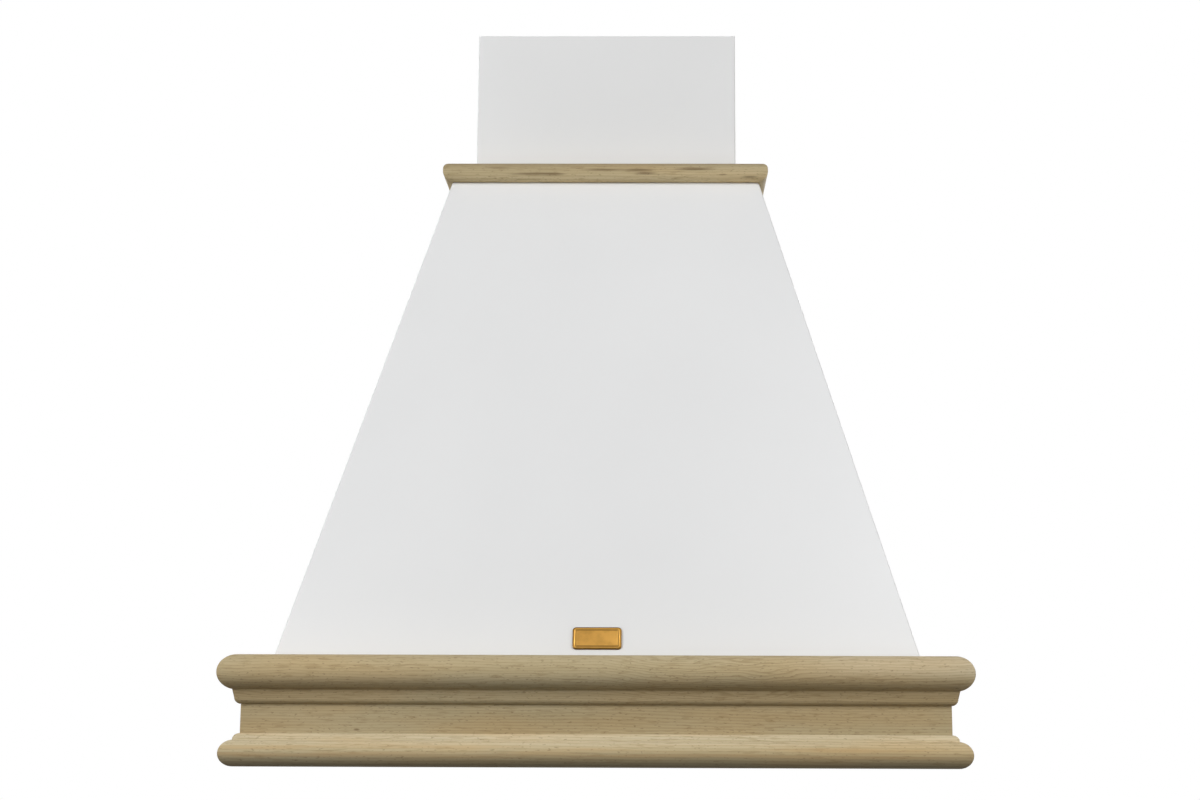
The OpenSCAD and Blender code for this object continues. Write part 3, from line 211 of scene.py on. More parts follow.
class Paint:  # one material with its nodes
    def __init__(self, name, colour, roughness, metallic=0.0, **fixed):
        self.material = bpy.data.materials.new(name)
        self.material.use_nodes = True
        self.material.diffuse_color = (*colour, 1)
        self.tree = self.material.node_tree
        self.shader = self.tree.nodes["Principled BSDF"]
        self.colour(colour)
        self.feed(self.shader.inputs["Roughness"], roughness)
        self.feed(self.shader.inputs["Metallic"], metallic)
        for socket, value in fixed.items():
            self.shader.inputs[socket.replace("_", " ")].default_value = value
        self.at = self.add("ShaderNodeTexCoord", output="Object")

    def feed(self, socket, value):
        if isinstance(value, Wire):
            self.tree.links.new(value.socket, socket)
        elif socket.type == "RGBA":
            socket.default_value = (*value[:3], 1)
        else:
            socket.default_value = value

    def add(self, kind, settings=None, inputs=None, output=0):
        node = self.tree.nodes.new(kind)
        for key, value in (settings or {}).items():
            if key == "stops":
                self.setStops(node.color_ramp, value)
            else:
                setattr(node, key, value)
        for key, value in (inputs or {}).items():
            self.feed(node.inputs[key], value)
        return Wire(self, node.outputs[output])

    def setStops(self, ramp, stops):
        while len(ramp.elements) < len(stops):
            ramp.elements.new(1)
        for element, (spot, tone) in zip(ramp.elements, stops):
            element.position = spot
            element.color = (tone, tone, tone, 1)

    def stretch(self, at, scale, move=(0, 0, 0), turn=(0, 0, 0)):
        return self.add("ShaderNodeMapping", None, {0: at, 1: move, 2: turn, 3: scale})

    def noise(self, at, scale, detail=2, rough=0.5, output=0):
        return self.add("ShaderNodeTexNoise", None,
            {"Vector": at, "Scale": scale, "Detail": detail, "Roughness": rough}, output)

    def cells(self, at, scale, output="Distance"):
        return self.add("ShaderNodeTexVoronoi", None, {"Vector": at, "Scale": scale}, output)

    def between(self, value, low, high, toLow=0.0, toHigh=1.0):
        return self.add("ShaderNodeMapRange", {"interpolation_type": "SMOOTHSTEP"},
            {0: value, 1: low, 2: high, 3: toLow, 4: toHigh})

    def band(self, value, rise, fall):  # 1 between the rise and the fall
        return self.between(value, *rise) * self.between(value, *fall)

    def blend(self, factor, a, b, how="MIX"):
        settings = {"data_type": "RGBA", "blend_type": how}
        return self.add("ShaderNodeMix", settings, {0: factor, 6: a, 7: b}, 2)

    def colour(self, value):
        self.feed(self.shader.inputs["Base Color"], value)

    def mottle(self, factor, colour, dark, light):  # between a darker and a lighter tone of one colour
        self.colour(self.blend(factor, tinted(colour, dark), tinted(colour, light)))

    def roughness(self, value):
        self.feed(self.shader.inputs["Roughness"], value)

    def bump(self, height, distance):
        self.feed(self.shader.inputs["Normal"],
            self.add("ShaderNodeBump", None, {"Distance": distance, "Height": height}))

    def parts(self, at):
        split = self.add("ShaderNodeSeparateXYZ", None, {0: at})
        return [Wire(self, split.socket.node.outputs[i]) for i in range(3)]

    def alongHeight(self, height, tones):  # a ramp holds no tone over 1, so they are scaled down and up
        low, high = tones[0][0], tones[-1][0]
        top = max(tone for spot, tone in tones)
        stops = [((spot - low) / (high - low), tone / top) for spot, tone in tones]
        grey = self.add("ShaderNodeValToRGB", {"stops": stops}, {0: (height - low) / (high - low)})
        return self.blend(1.0, grey, (top, top, top), "MULTIPLY")

    def joined(self, x, y, z):
        return self.add("ShaderNodeCombineXYZ", None, {0: x, 1: y, 2: z})


def tinted(colour, factor):
    return tuple(min(1.0, c * factor) for c in colour)


# Finishes

wood = {
    "pale": (0.515, 0.428, 0.260),
    "body": (0.462, 0.372, 0.210),
    "deep": (0.325, 0.242, 0.120),
    "streak": (0.200, 0.138, 0.066),
    "warm": (0.480, 0.315, 0.140),
    "warmPatch": (1.04, 0.975, 0.90),
    "sawnEnd": (0.84, 0.81, 0.76),  # the cut ends at the wall
    # how often each pattern comes over a metre: along the grain, across it and up
    "patterns": {
        "drift": (2.4, 14, 14), "sway": (12, 55, 55), "fibre": (9, 900, 900), "broad": (3, 60, 60),
        "thick": (11, 130, 130), "specks": (330, 1100, 1100), "patch": (5, 26, 26), "flow": (9, 260, 260),
    },
    "dash": (13, 1.7, 1.7),         # lengths in mm from here on, heights from the hood's lower edge
    "ringPitch": 2.3,
    "lateWood": ((0.35, 0.90), (1.0, 0.92)),  # its rise and its fall, as shares of a ring
    "drift": (30, 10),              # how far the heart of the rings wanders, across and up
    "slant": 0.006,                 # of the rings against the length of the rail
    "sway": 2.2,                    # how far the rings wave
    "mouldedSway": (44, 58, 1.6, 10.5),  # between two heights, from the first sway to the second
    "flame": {"rise": (0, 60), "fall": (200, 120), "height": (46, 56), "sway": 9},  # rise and fall in x
    "warmFoot": {"rise": (5, 9), "fall": (20, 14)},
    # painted highlight along the top of the foot and bead, as a paler and bluer tint
    "footHighlight": {"rise": (13, 21), "fall": (27, 25.5), "tint": (1.0, 1.05, 1.20)},
    "endHighlights": [  # painted highlights on the upper round near the right end: x, height, tint
        ((130, 280), (55, 65), (1.10, 1.10, 1.12)),
        ((130, 220), (66, 76), (1.07, 1.13, 1.30)),
    ],
    # painted light and shade by height, as a factor on the wood's colour: painted shade under the rounds and
    # at the collar's top edge, painted highlights on the foot and on the collar's lower round
    "baseShading": [(0, 0.96), (0.3, 0.66), (3, 0.68), (6.3, 0.72), (9.5, 0.90), (12.5, 1.07), (16, 1.18),
        (19, 1.26), (25.8, 1.27), (26.2, 0.93), (33, 0.91), (47, 0.93), (48.6, 0.92), (49.2, 0.68),
        (52.5, 0.85), (56, 0.90), (59, 1.0), (61, 0.76), (64.5, 0.78), (67.6, 0.90), (71, 1.0),
        (78, 1.03), (88, 1.0)],
    "collarShading": [(541, 1.35), (545, 1.22), (549, 1.03), (553, 0.98), (555.5, 0.80), (558.2, 0.72),
        (558.5, 0.95)],
}


def beech(name, along, offset, stains=(), knots=(), moulded=False):
    p = Paint(name, wood["body"], 0.66, Specular_IOR_Level=0.28)
    px, py, pz = p.parts(p.at)
    x, height = px / mm, (pz - edgeZ) / mm
    at = p.stretch(p.at, (1, 1, 1), offset, (0, 0, 0) if along == "x" else (0, 0, pi / 2))
    u, v, w = p.parts(at)

    def pattern(kind, detail, rough=0.5):
        return p.noise(p.stretch(at, wood["patterns"][kind]), 1, detail, rough)

    # year rings round a wandering heart
    drift, sway = pattern("drift", 2), pattern("sway", 3)
    flame, figure = 0, wood["sway"]
    if moulded:
        f = wood["flame"]
        flame = p.band(x, f["rise"], f["fall"]) * p.between(height, *f["height"])
        figure = p.between(height, *wood["mouldedSway"]) + flame * f["sway"]
    across = v + drift * (wood["drift"][0] * mm)
    upward = w + drift * (wood["drift"][1] * mm) + sway * figure * mm + u * wood["slant"]
    fromHeart = (across * across + upward * upward) ** 0.5
    ring = p.add("ShaderNodeMath", {"operation": "FRACT"}, {0: fromHeart / (wood["ringPitch"] * mm)})
    lateWood = p.band(ring, *wood["lateWood"])

    # fibres, vessels and specks
    fibre = pattern("fibre", 4, 0.6)
    broad = pattern("broad", 3)
    vessels = p.noise(p.stretch(at, [1 / (size * mm) for size in wood["dash"]]), 1, 1)
    dashes = p.between(vessels, 0.54, 0.68) * p.between(pattern("thick", 2), 0.36, 0.62, 0.45, 1.0)
    specks = p.between(pattern("specks", 0), 0.70, 0.78)
    tone = p.blend(p.between(broad, 0.3, 0.72), wood["body"], wood["pale"])
    tone = p.blend(lateWood * (p.between(broad, 0.25, 0.7, 0.52, 0.26) + flame * 0.20), tone, wood["deep"])
    tone = p.blend(p.between(fibre, 0.46, 0.8) * 0.34, tone, wood["deep"])
    tone = p.blend(dashes * 0.55, tone, wood["deep"])
    tone = p.blend(specks * 0.5, tone, wood["streak"])
    tone = p.blend(p.between(pattern("patch", 2), 0.42, 0.62), tone, wood["warmPatch"], "MULTIPLY")

    # warm colour of the moulding's foot, painted highlights on its foot and right end, and painted light and
    # shade on each face by height
    if moulded:
        warm, pale = wood["warmFoot"], wood["footHighlight"]
        warmth = p.band(height, warm["rise"], warm["fall"]) * p.between(pattern("flow", 3), 0.40, 0.68)
        tone = p.blend(warmth * 0.5, tone, wood["warm"])
        # painted highlight along the top of the foot and bead
        tone = p.blend(p.band(height, pale["rise"], pale["fall"]), tone, pale["tint"], "MULTIPLY")
        # painted highlights on the upper round near the right end
        for reach, rise, tint in wood["endHighlights"]:
            tone = p.blend(p.between(x, *reach) * p.between(height, *rise), tone, tint, "MULTIPLY")
    # painted light and shade by height, left out on the sawn ends at the wall
    paintedShading = p.alongHeight(height, wood["baseShading" if moulded else "collarShading"])
    light = p.blend(p.between(py / mm, -1.0, -0.2), paintedShading, wood["sawnEnd"])
    tone = p.blend(1.0, tone, light, "MULTIPLY")

    for middle, level, halfLength, halfWidth, strength in stains:
        wave = (sway - 0.5) * 0.9 + (fibre - 0.5) * 2.2
        du = (x - middle) / halfLength
        dw = (height - level) / halfWidth + wave
        far = (du * du + dw * dw) ** 0.5
        tone = p.blend(p.between(far, 1.0, 0.15) * strength, tone, wood["streak"])
    squash = Vector((0.5, 1, 1.3))  # knots are longer along the grain
    for spotX, spotY, level, size in knots:
        spot = squash * Vector((spotX * mm, spotY * mm, edgeZ + level * mm))
        off = p.add("ShaderNodeVectorMath", {"operation": "DISTANCE"},
            {0: p.stretch(p.at, squash), 1: spot}, "Value") / mm
        tone = p.blend(p.between(off, size, size * 0.35) * 0.75, tone, wood["streak"])
    p.colour(tone)
    p.roughness(0.58 + fibre * 0.14)
    p.bump(fibre * 0.6 + lateWood * 0.2 - dashes * 0.6 - specks * 0.5, 0.00005)
    return p.material


def powderCoat(name, colour, roughness=0.42):
    p = Paint(name, colour, roughness)
    peel = p.noise(p.at, 520, 2)
    cloud = p.noise(p.at, 9, 3)
    p.mottle(cloud, colour, 0.985, 1.012)
    p.roughness(p.between(cloud, 0.2, 0.8, roughness - 0.04, roughness + 0.05))
    p.bump(peel, 0.00002)
    return p.material


def galvanised(name, colour):
    p = Paint(name, colour, 0.42, 0.92)
    ragged = p.noise(p.at, 260, 4, output="Color")  # frays the crystals' edges
    flake = p.cells(p.blend(0.010, p.at, ragged), 105, "Color")
    grey, lean, shine = p.parts(flake)
    upright = p.noise(p.stretch(p.at, (1500, 1500, 170)), 1, 2)
    lying = p.noise(p.stretch(p.at, (170, 170, 1500)), 1, 2)
    ferns = upright * lean + lying * (1 - lean)  # each crystal's own feathering
    dull = p.noise(p.at, 7, 3)
    p.mottle(grey * 0.62 + ferns * 0.26 + dull * 0.12, colour, 0.84, 1.13)
    p.roughness(0.32 + shine * 0.15 + ferns * 0.08)
    p.bump(grey * 0.4 + ferns * 0.3, 0.00002)
    return p.material


def plated(name, colour, roughness=0.3):
    p = Paint(name, colour, roughness, 1.0)
    grime = p.noise(p.at, 260, 3)
    turned = p.noise(p.at, 900, 2)
    p.mottle(grime, colour, 0.86, 1.08)
    p.roughness(p.between(grime, 0.3, 0.7, roughness - 0.06, roughness + 0.12))
    p.bump(turned, 0.00001)
    return p.material


def brushed(name, colour, roughness=0.32, along=(6, 900, 900)):
    p = Paint(name, colour, roughness, 1.0)
    lines = p.noise(p.stretch(p.at, along), 1, 3, 0.65)
    smear = p.noise(p.at, 14, 3)
    p.mottle(lines, colour, 0.88, 1.10)
    p.roughness(p.between(smear, 0.25, 0.75, roughness - 0.05, roughness + 0.09) + lines * 0.06)
    p.bump(lines, 0.00002)
    return p.material


def mouldedPlastic(name, colour, roughness=0.5, grain=700, depth=0.00003):
    p = Paint(name, colour, roughness)
    spark = p.cells(p.at, grain)
    haze = p.noise(p.at, 18, 3)
    p.mottle(haze, colour, 0.90, 1.14)
    p.roughness(p.between(haze, 0.25, 0.75, roughness - 0.06, roughness + 0.08))
    p.bump(spark, depth)
    return p.material


def brass(name, colour, place, b):
    p = Paint(name, colour, 0.4, 1.0)
    lines = p.noise(p.stretch(p.at, (30, 1600, 1600)), 1, 3, 0.6)
    tarnish = p.noise(p.at, 150, 4)
    home = place.inverted()
    flat = [p.add("ShaderNodeVectorMath", {"operation": "DOT_PRODUCT"},
        {0: p.at, 1: tuple(home[i][:3])}, "Value") + home[i][3] for i in (0, 1)]
    sides = [p.add("ShaderNodeMath", {"operation": "ABSOLUTE"}, {0: value}) - (size / 2 - b["corner"])
        for value, size in zip(flat, (b["width"], b["height"]))]
    beyond = [side.atLeast(0.0) for side in sides]
    within = sides[0].atLeast(sides[1]).atMost(0.0)
    inset = b["corner"] - within - (beyond[0] * beyond[0] + beyond[1] * beyond[1]) ** 0.5
    groove = p.band(inset, *b["groove"])
    shade = p.blend(p.between(tarnish, 0.35, 0.75), tinted(colour, 1.06), tinted(colour, 0.86))
    # painted shade in the stamped groove and on the rim's outer slope
    shade = p.blend(groove * 0.75, shade, tinted(colour, 0.38))
    shade = p.blend(p.between(inset, *b["edgeShade"]) * 0.9, shade, tinted(colour, 0.25))
    p.colour(shade)
    p.roughness(0.34 + lines * 0.08 + tarnish * 0.10)
    p.bump(lines, 0.00001)
    return p.material


def castMetal(name, colour, roughness=0.5):
    p = Paint(name, colour, roughness, 0.85)
    sand = p.noise(p.at, 1100, 3)
    haze = p.noise(p.at, 30, 3)
    p.mottle(haze, colour, 0.85, 1.12)
    p.roughness(p.between(haze, 0.3, 0.7, roughness - 0.07, roughness + 0.08))
    p.bump(sand, 0.00006)
    return p.material


def frostedGlass(name, colour):
    p = Paint(name, colour, 0.4, Coat_Weight=0.3)
    frost = p.noise(p.at, 900, 2)
    glow = p.noise(p.at, 60, 2)
    p.mottle(glow, colour, 0.95, 1)
    p.roughness(0.36 + frost * 0.12)
    p.bump(frost, 0.00003)
    return p.material


def sheath(name, colour):
    p = Paint(name, colour, 0.55)
    scuff = p.noise(p.at, 90, 3)
    p.mottle(scuff, colour, 0.85, 1.15)
    p.roughness(p.between(scuff, 0.3, 0.7, 0.48, 0.62))
    p.bump(p.noise(p.at, 1400, 2), 0.00002)
    return p.material


# Dressing of the CAD nodes, by the record's material slot

def makeFinishes():
    return {
        "painted_steel": powderCoat("whitePowderCoat", (0.82, 0.825, 0.83)),
        "beech": beech("beechBlank", "x", (0.31, 0.50, 0.60)),
        "badge_brass": brass("badgeBrass", (0.66, 0.36, 0.085), badgePlace(badge), badge),
        "pan_steel": powderCoat("greyPowderCoat", (0.70, 0.71, 0.72), 0.46),
        "galvanised": galvanised("galvanisedSheet", (0.60, 0.62, 0.635)),
        "spring_steel": brushed("springSteel", (0.50, 0.52, 0.54), 0.25),
        "zinc_steel": plated("brightZinc", (0.68, 0.69, 0.70), 0.28),
        "yellow_zinc": plated("yellowZinc", (0.66, 0.52, 0.24), 0.32),
        "filter_aluminium": brushed("satinAluminium", (0.72, 0.73, 0.74), 0.36),
        "filter_mesh": plated("meshAluminium", (0.70, 0.71, 0.72), 0.34),
        "flap_aluminium": brushed("flapAluminium", (0.70, 0.71, 0.72), 0.3),
        "motor_metal": castMetal("motorCasting", (0.42, 0.44, 0.46)),
        "black_plastic": mouldedPlastic("blackPlastic", (0.030, 0.032, 0.035), 0.48),
        "button_plastic": mouldedPlastic("buttonPlastic", (0.66, 0.67, 0.66), 0.34, 1200, 0.00001),
        "terminal_plastic": mouldedPlastic("terminalPlastic", (0.66, 0.61, 0.48), 0.45, 1000, 0.00001),
        "capacitor_case": mouldedPlastic("capacitorCase", (0.64, 0.64, 0.60), 0.38, 1000, 0.00001),
        "lamp_metal": castMetal("lampCasting", (0.40, 0.42, 0.44), 0.45),
        "lamp_bezel": brushed("bezelSteel", (0.66, 0.67, 0.68), 0.24, (700, 700, 20)),
        "lamp_lens": frostedGlass("frostedLens", (0.90, 0.90, 0.85)),
        "cable_sheath": sheath("cableSheath", (0.30, 0.31, 0.32)),
    }


def dressNodes(finishes):
    slotOf = {part["node"]: part["material_slot"] for part in frame["record"]["subparts"]}
    for name, node in nodes.items():
        node.data.materials.clear()
        node.data.materials.append(finishes[slotOf[name]])


# Mesh tools

def newPiece(name, mesh, body, material, replaced=(), sharpFrom=30):
    markEdges(mesh, radians(sharpFrom))
    mesh.materials.clear()
    mesh.materials.append(material)
    piece = bpy.data.objects.new(name, mesh)
    bpy.context.scene.collection.objects.link(piece)
    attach(piece, body)
    if replaced:
        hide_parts(*replaced)
    return piece


def markEdges(mesh, limit):
    bm = bmesh.new()
    bm.from_mesh(mesh)
    for face in bm.faces:
        face.smooth = True
    for edge in bm.edges:
        edge.smooth = len(edge.link_faces) == 2 and edge.calc_face_angle(0) < limit
    bm.to_mesh(mesh)
    bm.free()


def arc(centre, radius, start, end, steps):
    turns = [radians(start + (end - start) * i / steps) for i in range(steps + 1)]
    return [(centre[0] + radius * cos(a), centre[1] + radius * sin(a)) for a in turns]


def meshFrom(name, points, faces):
    mesh = bpy.data.meshes.new(name)
    mesh.from_pydata(points, [], faces)
    bm = bmesh.new()
    bm.from_mesh(mesh)
    bmesh.ops.remove_doubles(bm, verts=bm.verts, dist=1e-7)
    bmesh.ops.recalc_face_normals(bm, faces=bm.faces)
    bmesh.ops.triangulate(bm, faces=[f for f in bm.faces if len(f.verts) > 4], ngon_method="EAR_CLIP")
    bm.to_mesh(mesh)
    bm.free()
    return mesh


def stackOfLoops(name, loops):
    count = len(loops[0])
    points = [p for loop in loops for p in loop]
    faces = []
    for i in range(len(loops) - 1):
        for k in range(count):
            a, b = i * count + k, i * count + (k + 1) % count
            faces.append((a, b, b + count, a + count))
    faces.append(tuple(range(count)))
    faces.append(tuple(range(len(points) - count, len(points))))
    return meshFrom(name, points, faces)


# Beech rails: a moulded section carried along each side, mitred at the front corners

baseMoulding = {
    "height": 88, "depth": 38, "topRadius": 14, "topOut": 17, "footRadius": 10.5, "footOut": 14.3,
    "beadRadius": 5, "bandTop": 48.8, "stepRadius": 5, "stepOut": 4.6, "stepLean": 1.7,
    "neckRise": 1, "arcSteps": 20, "mitreGap": 0.12,
}
collarMoulding = {
    "height": 17.5, "depth": 28.5, "topRadius": 6.5, "lowRadius": 8.5, "arcSteps": 10, "mitreGap": 0.12,
    "overhang": 8.5,
}


def baseSection(m):
    foot = (m["footOut"] - m["footRadius"], m["footRadius"])
    bead = (0, 2 * m["footRadius"])
    step = (m["stepOut"] - m["stepRadius"], m["bandTop"] + m["stepRadius"])
    top = (m["topOut"] - m["topRadius"], m["height"] - m["topRadius"])
    neck = m["height"] - 2 * m["topRadius"] + m["neckRise"]
    apart = hypot(bead[0] - foot[0], bead[1] - foot[1])
    towards = atan2(bead[1] - foot[1], bead[0] - foot[0])
    foots, beads = m["footRadius"], m["beadRadius"]
    footEnd = towards - acos((foots ** 2 + apart ** 2 - beads ** 2) / (2 * foots * apart))
    beadStart = degrees(asin((foot[1] + foots * sin(footEnd) - bead[1]) / beads))
    lean = m["stepLean"] / (neck - step[1])
    low, high = -90.0, 0.0
    while high - low > 1e-6:  # where the lean of the step meets the upper round
        turn = (low + high) / 2
        x = top[0] + m["topRadius"] * cos(radians(turn))
        z = top[1] + m["topRadius"] * sin(radians(turn))
        if x < m["stepOut"] + lean * (z - step[1]):
            low = turn
        else:
            high = turn
    inner = m["topOut"] - m["depth"]
    return ([(inner, 0)] + arc(foot, foots, -90, degrees(footEnd), m["arcSteps"])
        + arc(bead, beads, beadStart, 90, m["arcSteps"] // 2)[1:] + [(0, m["bandTop"])]
        + arc(step, m["stepRadius"], -90, 0, m["arcSteps"] // 2)
        + arc(top, m["topRadius"], low, 90, m["arcSteps"]) + [(inner, m["height"])])


def collarSection(m):
    low = (-m["lowRadius"], m["lowRadius"])
    top = (-m["topRadius"], m["height"] - m["topRadius"])
    return ([(-m["depth"], 0)] + arc(low, m["lowRadius"], -90, 0, m["arcSteps"])
        + arc(top, m["topRadius"], 0, 90, m["arcSteps"]) + [(-m["depth"], m["height"])])


def railMesh(name, section, side, halfWidth, front, bottom, gap):
    ends = [[], []]
    for out, up in section:
        x, y, z = halfWidth + out * mm, -(front + out * mm), bottom + up * mm
        if side == "front":
            ends[0].append((gap * mm - x, y, z))
            ends[1].append((x - gap * mm, y, z))
        else:
            s = -1 if side == "left" else 1
            ends[0].append((s * x, 0, z))
            ends[1].append((s * x, y + gap * mm, z))
    return stackOfLoops(name, ends)


def buildRails(kind, sizes, section, outStand, finishOf):
    low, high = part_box(f"{kind}_front_rail")
    halfWidth = high.x - outStand * mm
    front = -low.y - outStand * mm
    for side in ("front", "left", "right"):
        name = f"{kind}{side.title()}Rail"
        mesh = railMesh(name, section, side, halfWidth, front, low.z, sizes["mitreGap"])
        newPiece(name, mesh, "hood", finishOf[side], [f"{kind}_{side}_rail"], sharpFrom=28)


# Folded sheets: the dome and the chimney

domeSheet = {
    "thickness": 1.0, "bendRadius": 1.6, "bendSteps": 4, "skirtBottom": 14, "foldHeight": 88,
    "topHeight": 541, "returnWidth": 18, "back": 1.0, "collarOpening": (125.8, 250.8),
    "openingReturn": 3, "foldEase": 1.2, "topEase": 0.6, "levels": (0.0025, 0.25, 0.5, 0.75, 0.9965),
}
chimneySheet = {"thickness": 1.0, "bendRadius": 1.6, "bendSteps": 4, "flange": 15, "back": 1.5, "rings": 4}


def sheetOutline(halfWidth, front, back, turnedIn, radius, steps):
    corners = [(-1, back, 90, 180), (-1, front, 180, 270), (1, front, 270, 360), (1, back, 0, 90)]
    line = [(-halfWidth + turnedIn, -back)]
    for side, depth, start, end in corners:
        y = -depth - radius if depth == back else -depth + radius
        line += arc((side * (halfWidth - radius), y), radius, start, end, steps)
    return line + [(halfWidth - turnedIn, -back)]


def foldedSheet(name, rings, thickness):
    count = len(rings[0])
    points = [p for ring in rings for p in ring]
    faces = [(i * count + k, i * count + k + 1, (i + 1) * count + k + 1, (i + 1) * count + k)
        for i in range(len(rings) - 1) for k in range(count - 1)]
    mesh = bpy.data.meshes.new(name)
    mesh.from_pydata([Vector(p) * mm for p in points], [], faces)
    sheet = bpy.data.objects.new(name, mesh)
    bpy.context.scene.collection.objects.link(sheet)
    wall = sheet.modifiers.new("wall", "SOLIDIFY")
    wall.thickness = thickness * mm
    wall.offset = -1
    wall.use_even_offset = True
    solid = bpy.data.meshes.new_from_object(sheet.evaluated_get(bpy.context.evaluated_depsgraph_get()))
    bpy.data.objects.remove(sheet)
    return solid


def domeTop():  # half width and depth under the collar
    low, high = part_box("collar_front_rail")
    return high.x / mm - collarMoulding["overhang"], -low.y / mm - collarMoulding["overhang"]


def buildDome(d, finish):
    low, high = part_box("dome_shell")
    wide, deep = high.x / mm, -low.y / mm
    topWide, topDeep = domeTop()
    base = edgeZ / mm
    rings = []

    def ring(halfWidth, front, height, turnedIn):
        line = sheetOutline(halfWidth, front, d["back"], turnedIn, d["bendRadius"], d["bendSteps"])
        rings.append([(x, y, base + height) for x, y in line])

    ring(wide, deep, d["skirtBottom"], d["returnWidth"])
    ring(wide, deep, d["foldHeight"] - d["foldEase"], d["returnWidth"])
    rise = d["topHeight"] - d["foldHeight"]
    for step in d["levels"]:
        ring(wide + (topWide - wide) * step, deep + (topDeep - deep) * step,
            d["foldHeight"] + rise * step, d["returnWidth"])
    ring(topWide - d["topEase"], topDeep - d["topEase"], d["topHeight"], d["returnWidth"])
    ring(*d["collarOpening"], d["topHeight"], d["openingReturn"])
    mesh = foldedSheet("domeSheet", rings, d["thickness"])
    newPiece("domeSheet", mesh, "hood", finish, ["dome_shell"], sharpFrom=50)


def buildChimney(c, finish):
    low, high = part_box("chimney_cover")
    rings = []
    line = sheetOutline(high.x / mm, -low.y / mm, c["back"], c["flange"], c["bendRadius"], c["bendSteps"])
    for i in range(c["rings"] + 1):
        z = (low.z + (high.z - low.z) * i / c["rings"]) / mm
        rings.append([(x, y, z) for x, y in line])
    mesh = foldedSheet("chimneySheet", rings, c["thickness"])
    newPiece("chimneySheet", mesh, "chimney", finish, ["chimney_cover"], sharpFrom=50)


# Badge: a bare plate with a raised rim and a stamped line

badge = {
    "width": 40, "height": 19.5, "up": 5.7, "corner": 3, "leastCorner": 0.6, "cornerSteps": 6,
    "form": [(0, 0), (0, 1.1), (0.15, 1.35), (0.45, 1.52), (0.9, 1.6), (1.8, 1.6), (2.05, 1.46),
        (2.2, 1.4), (2.9, 1.4), (3.1, 1.47), (3.3, 1.5)],  # inset from the edge, level
    # bands of painted shade, as insets from the edge: in the stamped groove and on the rim's outer slope
    "groove": ((1.9, 2.2), (3.3, 3.0)),
    "edgeShade": (1.25, 0.85),
}


def plateLoop(b, inset, level):
    r = max(b["corner"] - inset / 2, b["leastCorner"])
    hw, hh = b["width"] / 2 - inset - r, b["height"] / 2 - inset - r
    spots = ((hw, hh, 0), (-hw, hh, 90), (-hw, -hh, 180), (hw, -hh, 270))
    return [(x, y, level) for cx, cy, start in spots
        for x, y in arc((cx, cy), r, start, start + 90, b["cornerSteps"])]


def badgePlace(b):
    deep = -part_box("dome_shell")[0].y / mm
    tilt = atan2(deep - domeTop()[1], domeSheet["topHeight"] - domeSheet["foldHeight"])
    return (Matrix.Translation((0, -deep * mm, edgeZ + domeSheet["foldHeight"] * mm))
        @ Matrix.Rotation(pi / 2 - tilt, 4, "X")
        @ Matrix.Translation((0, (b["up"] + b["height"] / 2) * mm, 0)) @ Matrix.Scale(mm, 4))


def buildBadge(b, finish):
    place = badgePlace(b)
    loops = [[place @ Vector(p) for p in plateLoop(b, inset, level)] for inset, level in b["form"]]
    plate = stackOfLoops("badgePlate", loops)
    newPiece("badgePlate", plate, "hood", finish, ["badge_plate"], sharpFrom=50)


# Filter packs: layers of expanded mesh, one cell repeated over each layer

filterPack = {
    "cell": (7.0, 3.6), "strand": (0.60, 0.50), "shifts": ((0, 0), (1.75, 0.9), (-1.75, -0.9)), "rim": 1.0,
}


def cellMesh(f):
    wide, deep = f["cell"][0] / 2, f["cell"][1] / 2
    thick, tall = f["strand"][0] / 2, f["strand"][1] / 2
    points, faces = [], []
    for sign in (-1, 1):
        slope = Vector((2 * wide, sign * 2 * deep, 0)).normalized()
        side = Vector((-slope.y, slope.x, 0)) * thick
        for end in (-1, 1):
            tip = Vector((end * wide, sign * end * deep, 0))
            for a, b in ((1, 1), (-1, 1), (-1, -1), (1, -1)):
                points.append(tip + side * a + Vector((0, 0, b * tall)))
        first = len(points) - 8
        faces += [(first + k, first + (k + 1) % 4, first + 4 + (k + 1) % 4, first + 4 + k) for k in range(4)]
        faces += [tuple(range(first, first + 4)), tuple(range(first + 4, first + 8))]
    return meshFrom("expandedCell", [p * mm for p in points], faces)


